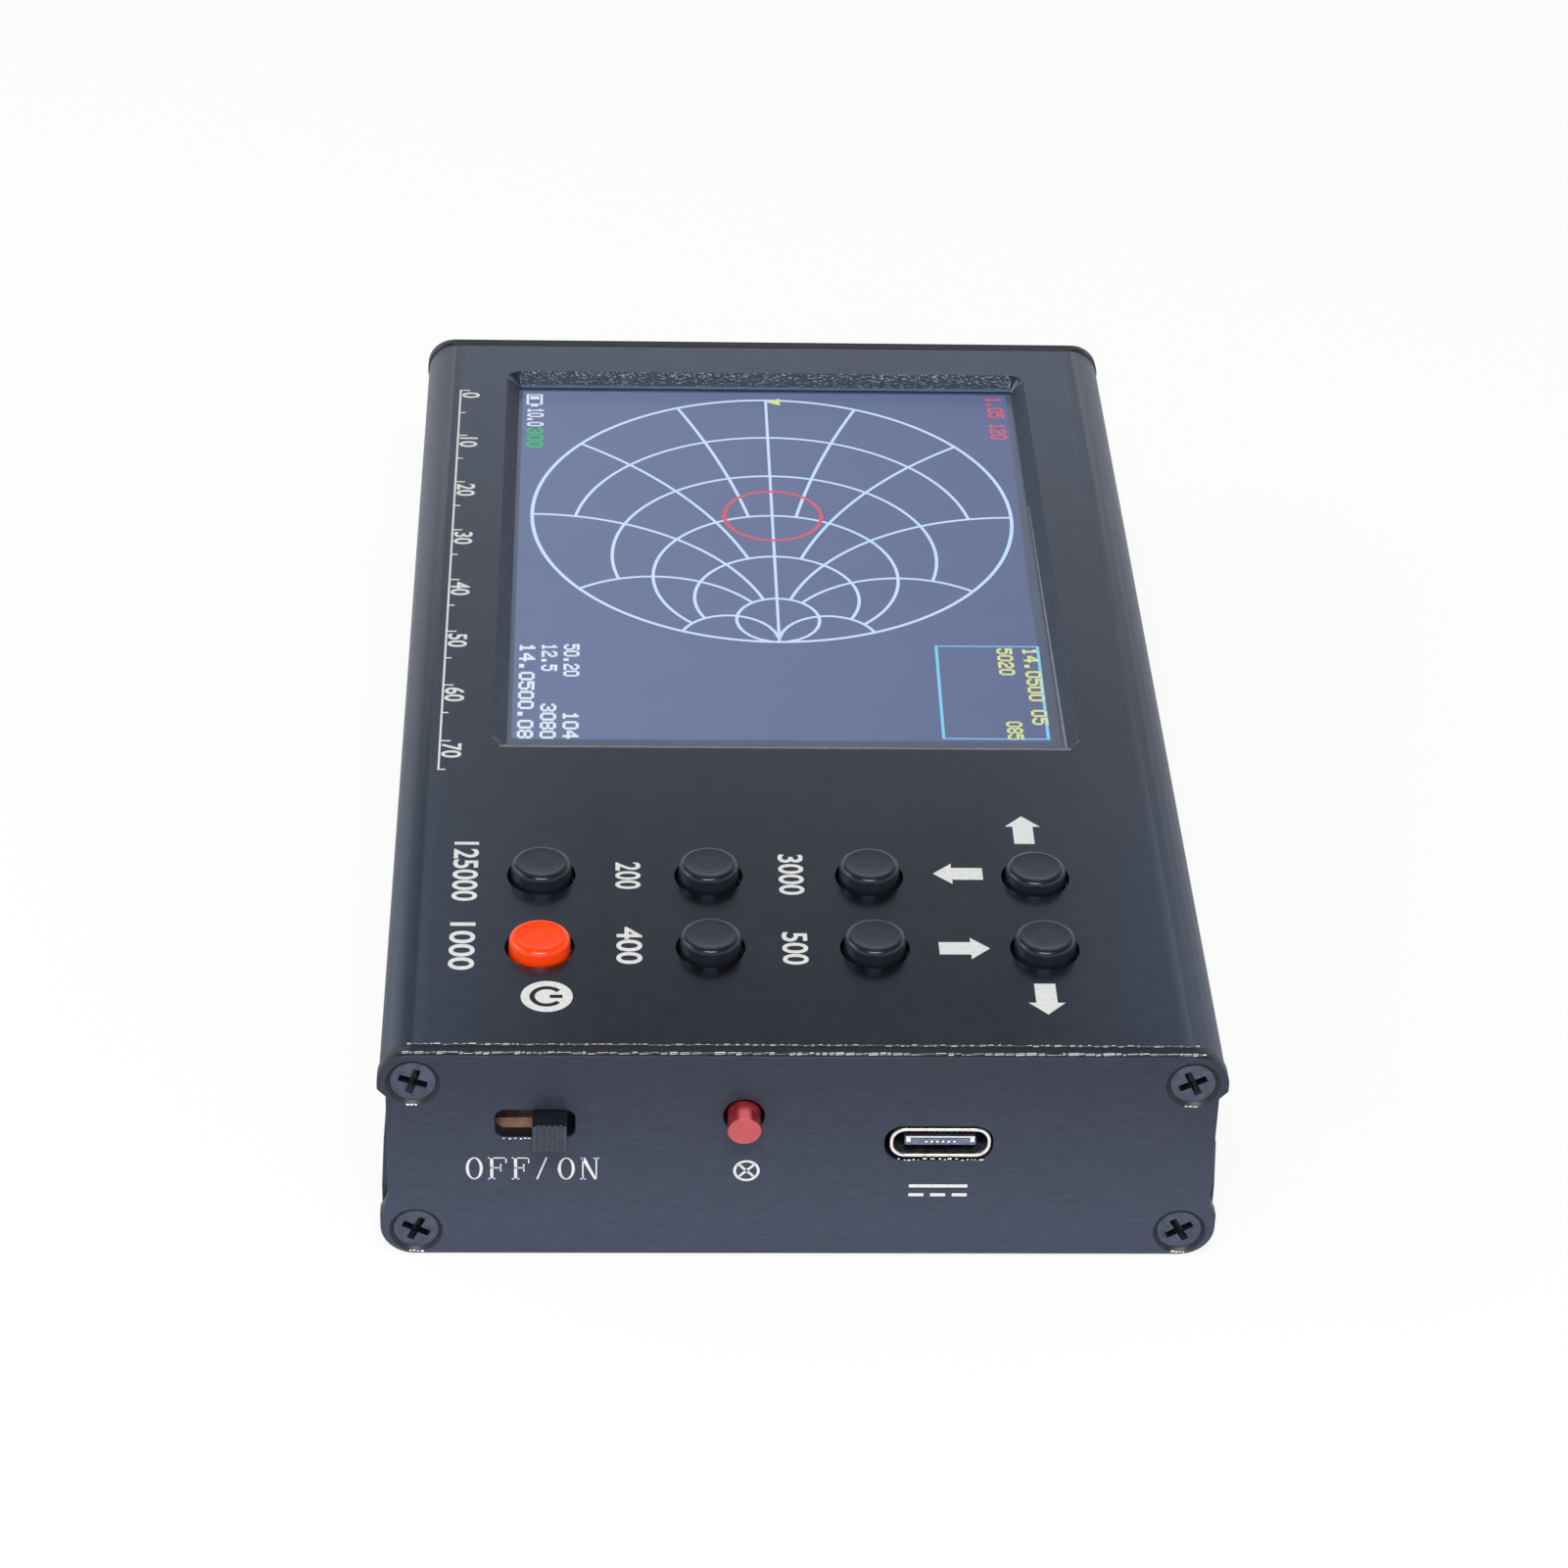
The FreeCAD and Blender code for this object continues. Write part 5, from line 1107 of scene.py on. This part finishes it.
def studio_world():
    """White all round, dimmer overhead; the camera sees it plain white."""
    world = bpy.data.worlds.new("studio")
    world.use_nodes = True
    bpy.context.scene.world = world
    tree = world.node_tree
    back = tree.nodes["Background"]
    place = tree.nodes.new("ShaderNodeTexCoord")
    split = tree.nodes.new("ShaderNodeSeparateXYZ")
    fade = tree.nodes.new("ShaderNodeMapRange")
    path = tree.nodes.new("ShaderNodeLightPath")
    level = tree.nodes.new("ShaderNodeMath")
    level.operation = "MAXIMUM"
    white_to, dim_from, dim = 0.46, 0.59, 0.1       # sines of the height above the horizon; strength
    for key, value in (("From Min", white_to), ("From Max", dim_from), ("To Min", 1.0), ("To Max", dim)):
        fade.inputs[key].default_value = value
    for start, into in ((place.outputs["Generated"], split.inputs[0]), (split.outputs["Z"], fade.inputs["Value"]),
                        (fade.outputs["Result"], level.inputs[0]),
                        (path.outputs["Is Camera Ray"], level.inputs[1]),
                        (level.outputs[0], back.inputs["Strength"])):
        tree.links.new(start, into)
    back.inputs["Color"].default_value = (1, 1, 1, 1)


def softbox(name, place, size, power):
    """Rectangular lamp aimed at the object. Its place and size are in metres, its power in watts."""
    data = bpy.data.lights.new(name, "AREA")
    data.shape = "RECTANGLE"
    data.size, data.size_y = size
    data.energy = power
    obj = add_object(name, data)
    obj.location = place
    obj.rotation_euler = (-Vector(place)).to_track_quat("-Z", "Y").to_euler()


def photo_camera():
    """Camera at the photograph's viewing angle, fitted to places measured in it."""
    yaw, pitch, roll = 0.0497, 0.5845, 0.0333       # radians
    place = (-0.018215, -0.37858, 0.257512)         # metres
    focal_pixels, frame_pixels, sensor = 4596.457, 1601, 36
    ahead = Vector((math.sin(yaw) * math.cos(pitch), math.cos(yaw) * math.cos(pitch), -math.sin(pitch)))
    right = Vector((math.cos(yaw), -math.sin(yaw), 0))
    up = right.cross(ahead)
    turned_right = math.cos(roll) * right + math.sin(roll) * up
    turned_up = -math.sin(roll) * right + math.cos(roll) * up
    data = bpy.data.cameras.new("photo_camera")
    data.sensor_width = sensor
    data.lens = focal_pixels / frame_pixels * sensor
    data.clip_start = 0.01
    obj = add_object("photo_camera", data)
    facing = Matrix((turned_right, turned_up, -ahead)).transposed().to_4x4()
    obj.matrix_world = Matrix.Translation(place) @ facing
    bpy.context.scene.camera = obj


KEY_PLACE = (-0.02, -0.48, 0.66)
studio_floor()
studio_world()
softbox("key_softbox", KEY_PLACE, (0.4, 0.22), 2.6)
softbox("rim_strip", KEY_PLACE, (0.36, 0.05), 2.2)
softbox("side_softbox", (-0.7, 0.1, 0.5), (0.5, 0.4), 1.6)
photo_camera()
bpy.context.scene.view_settings.view_transform = "Standard"
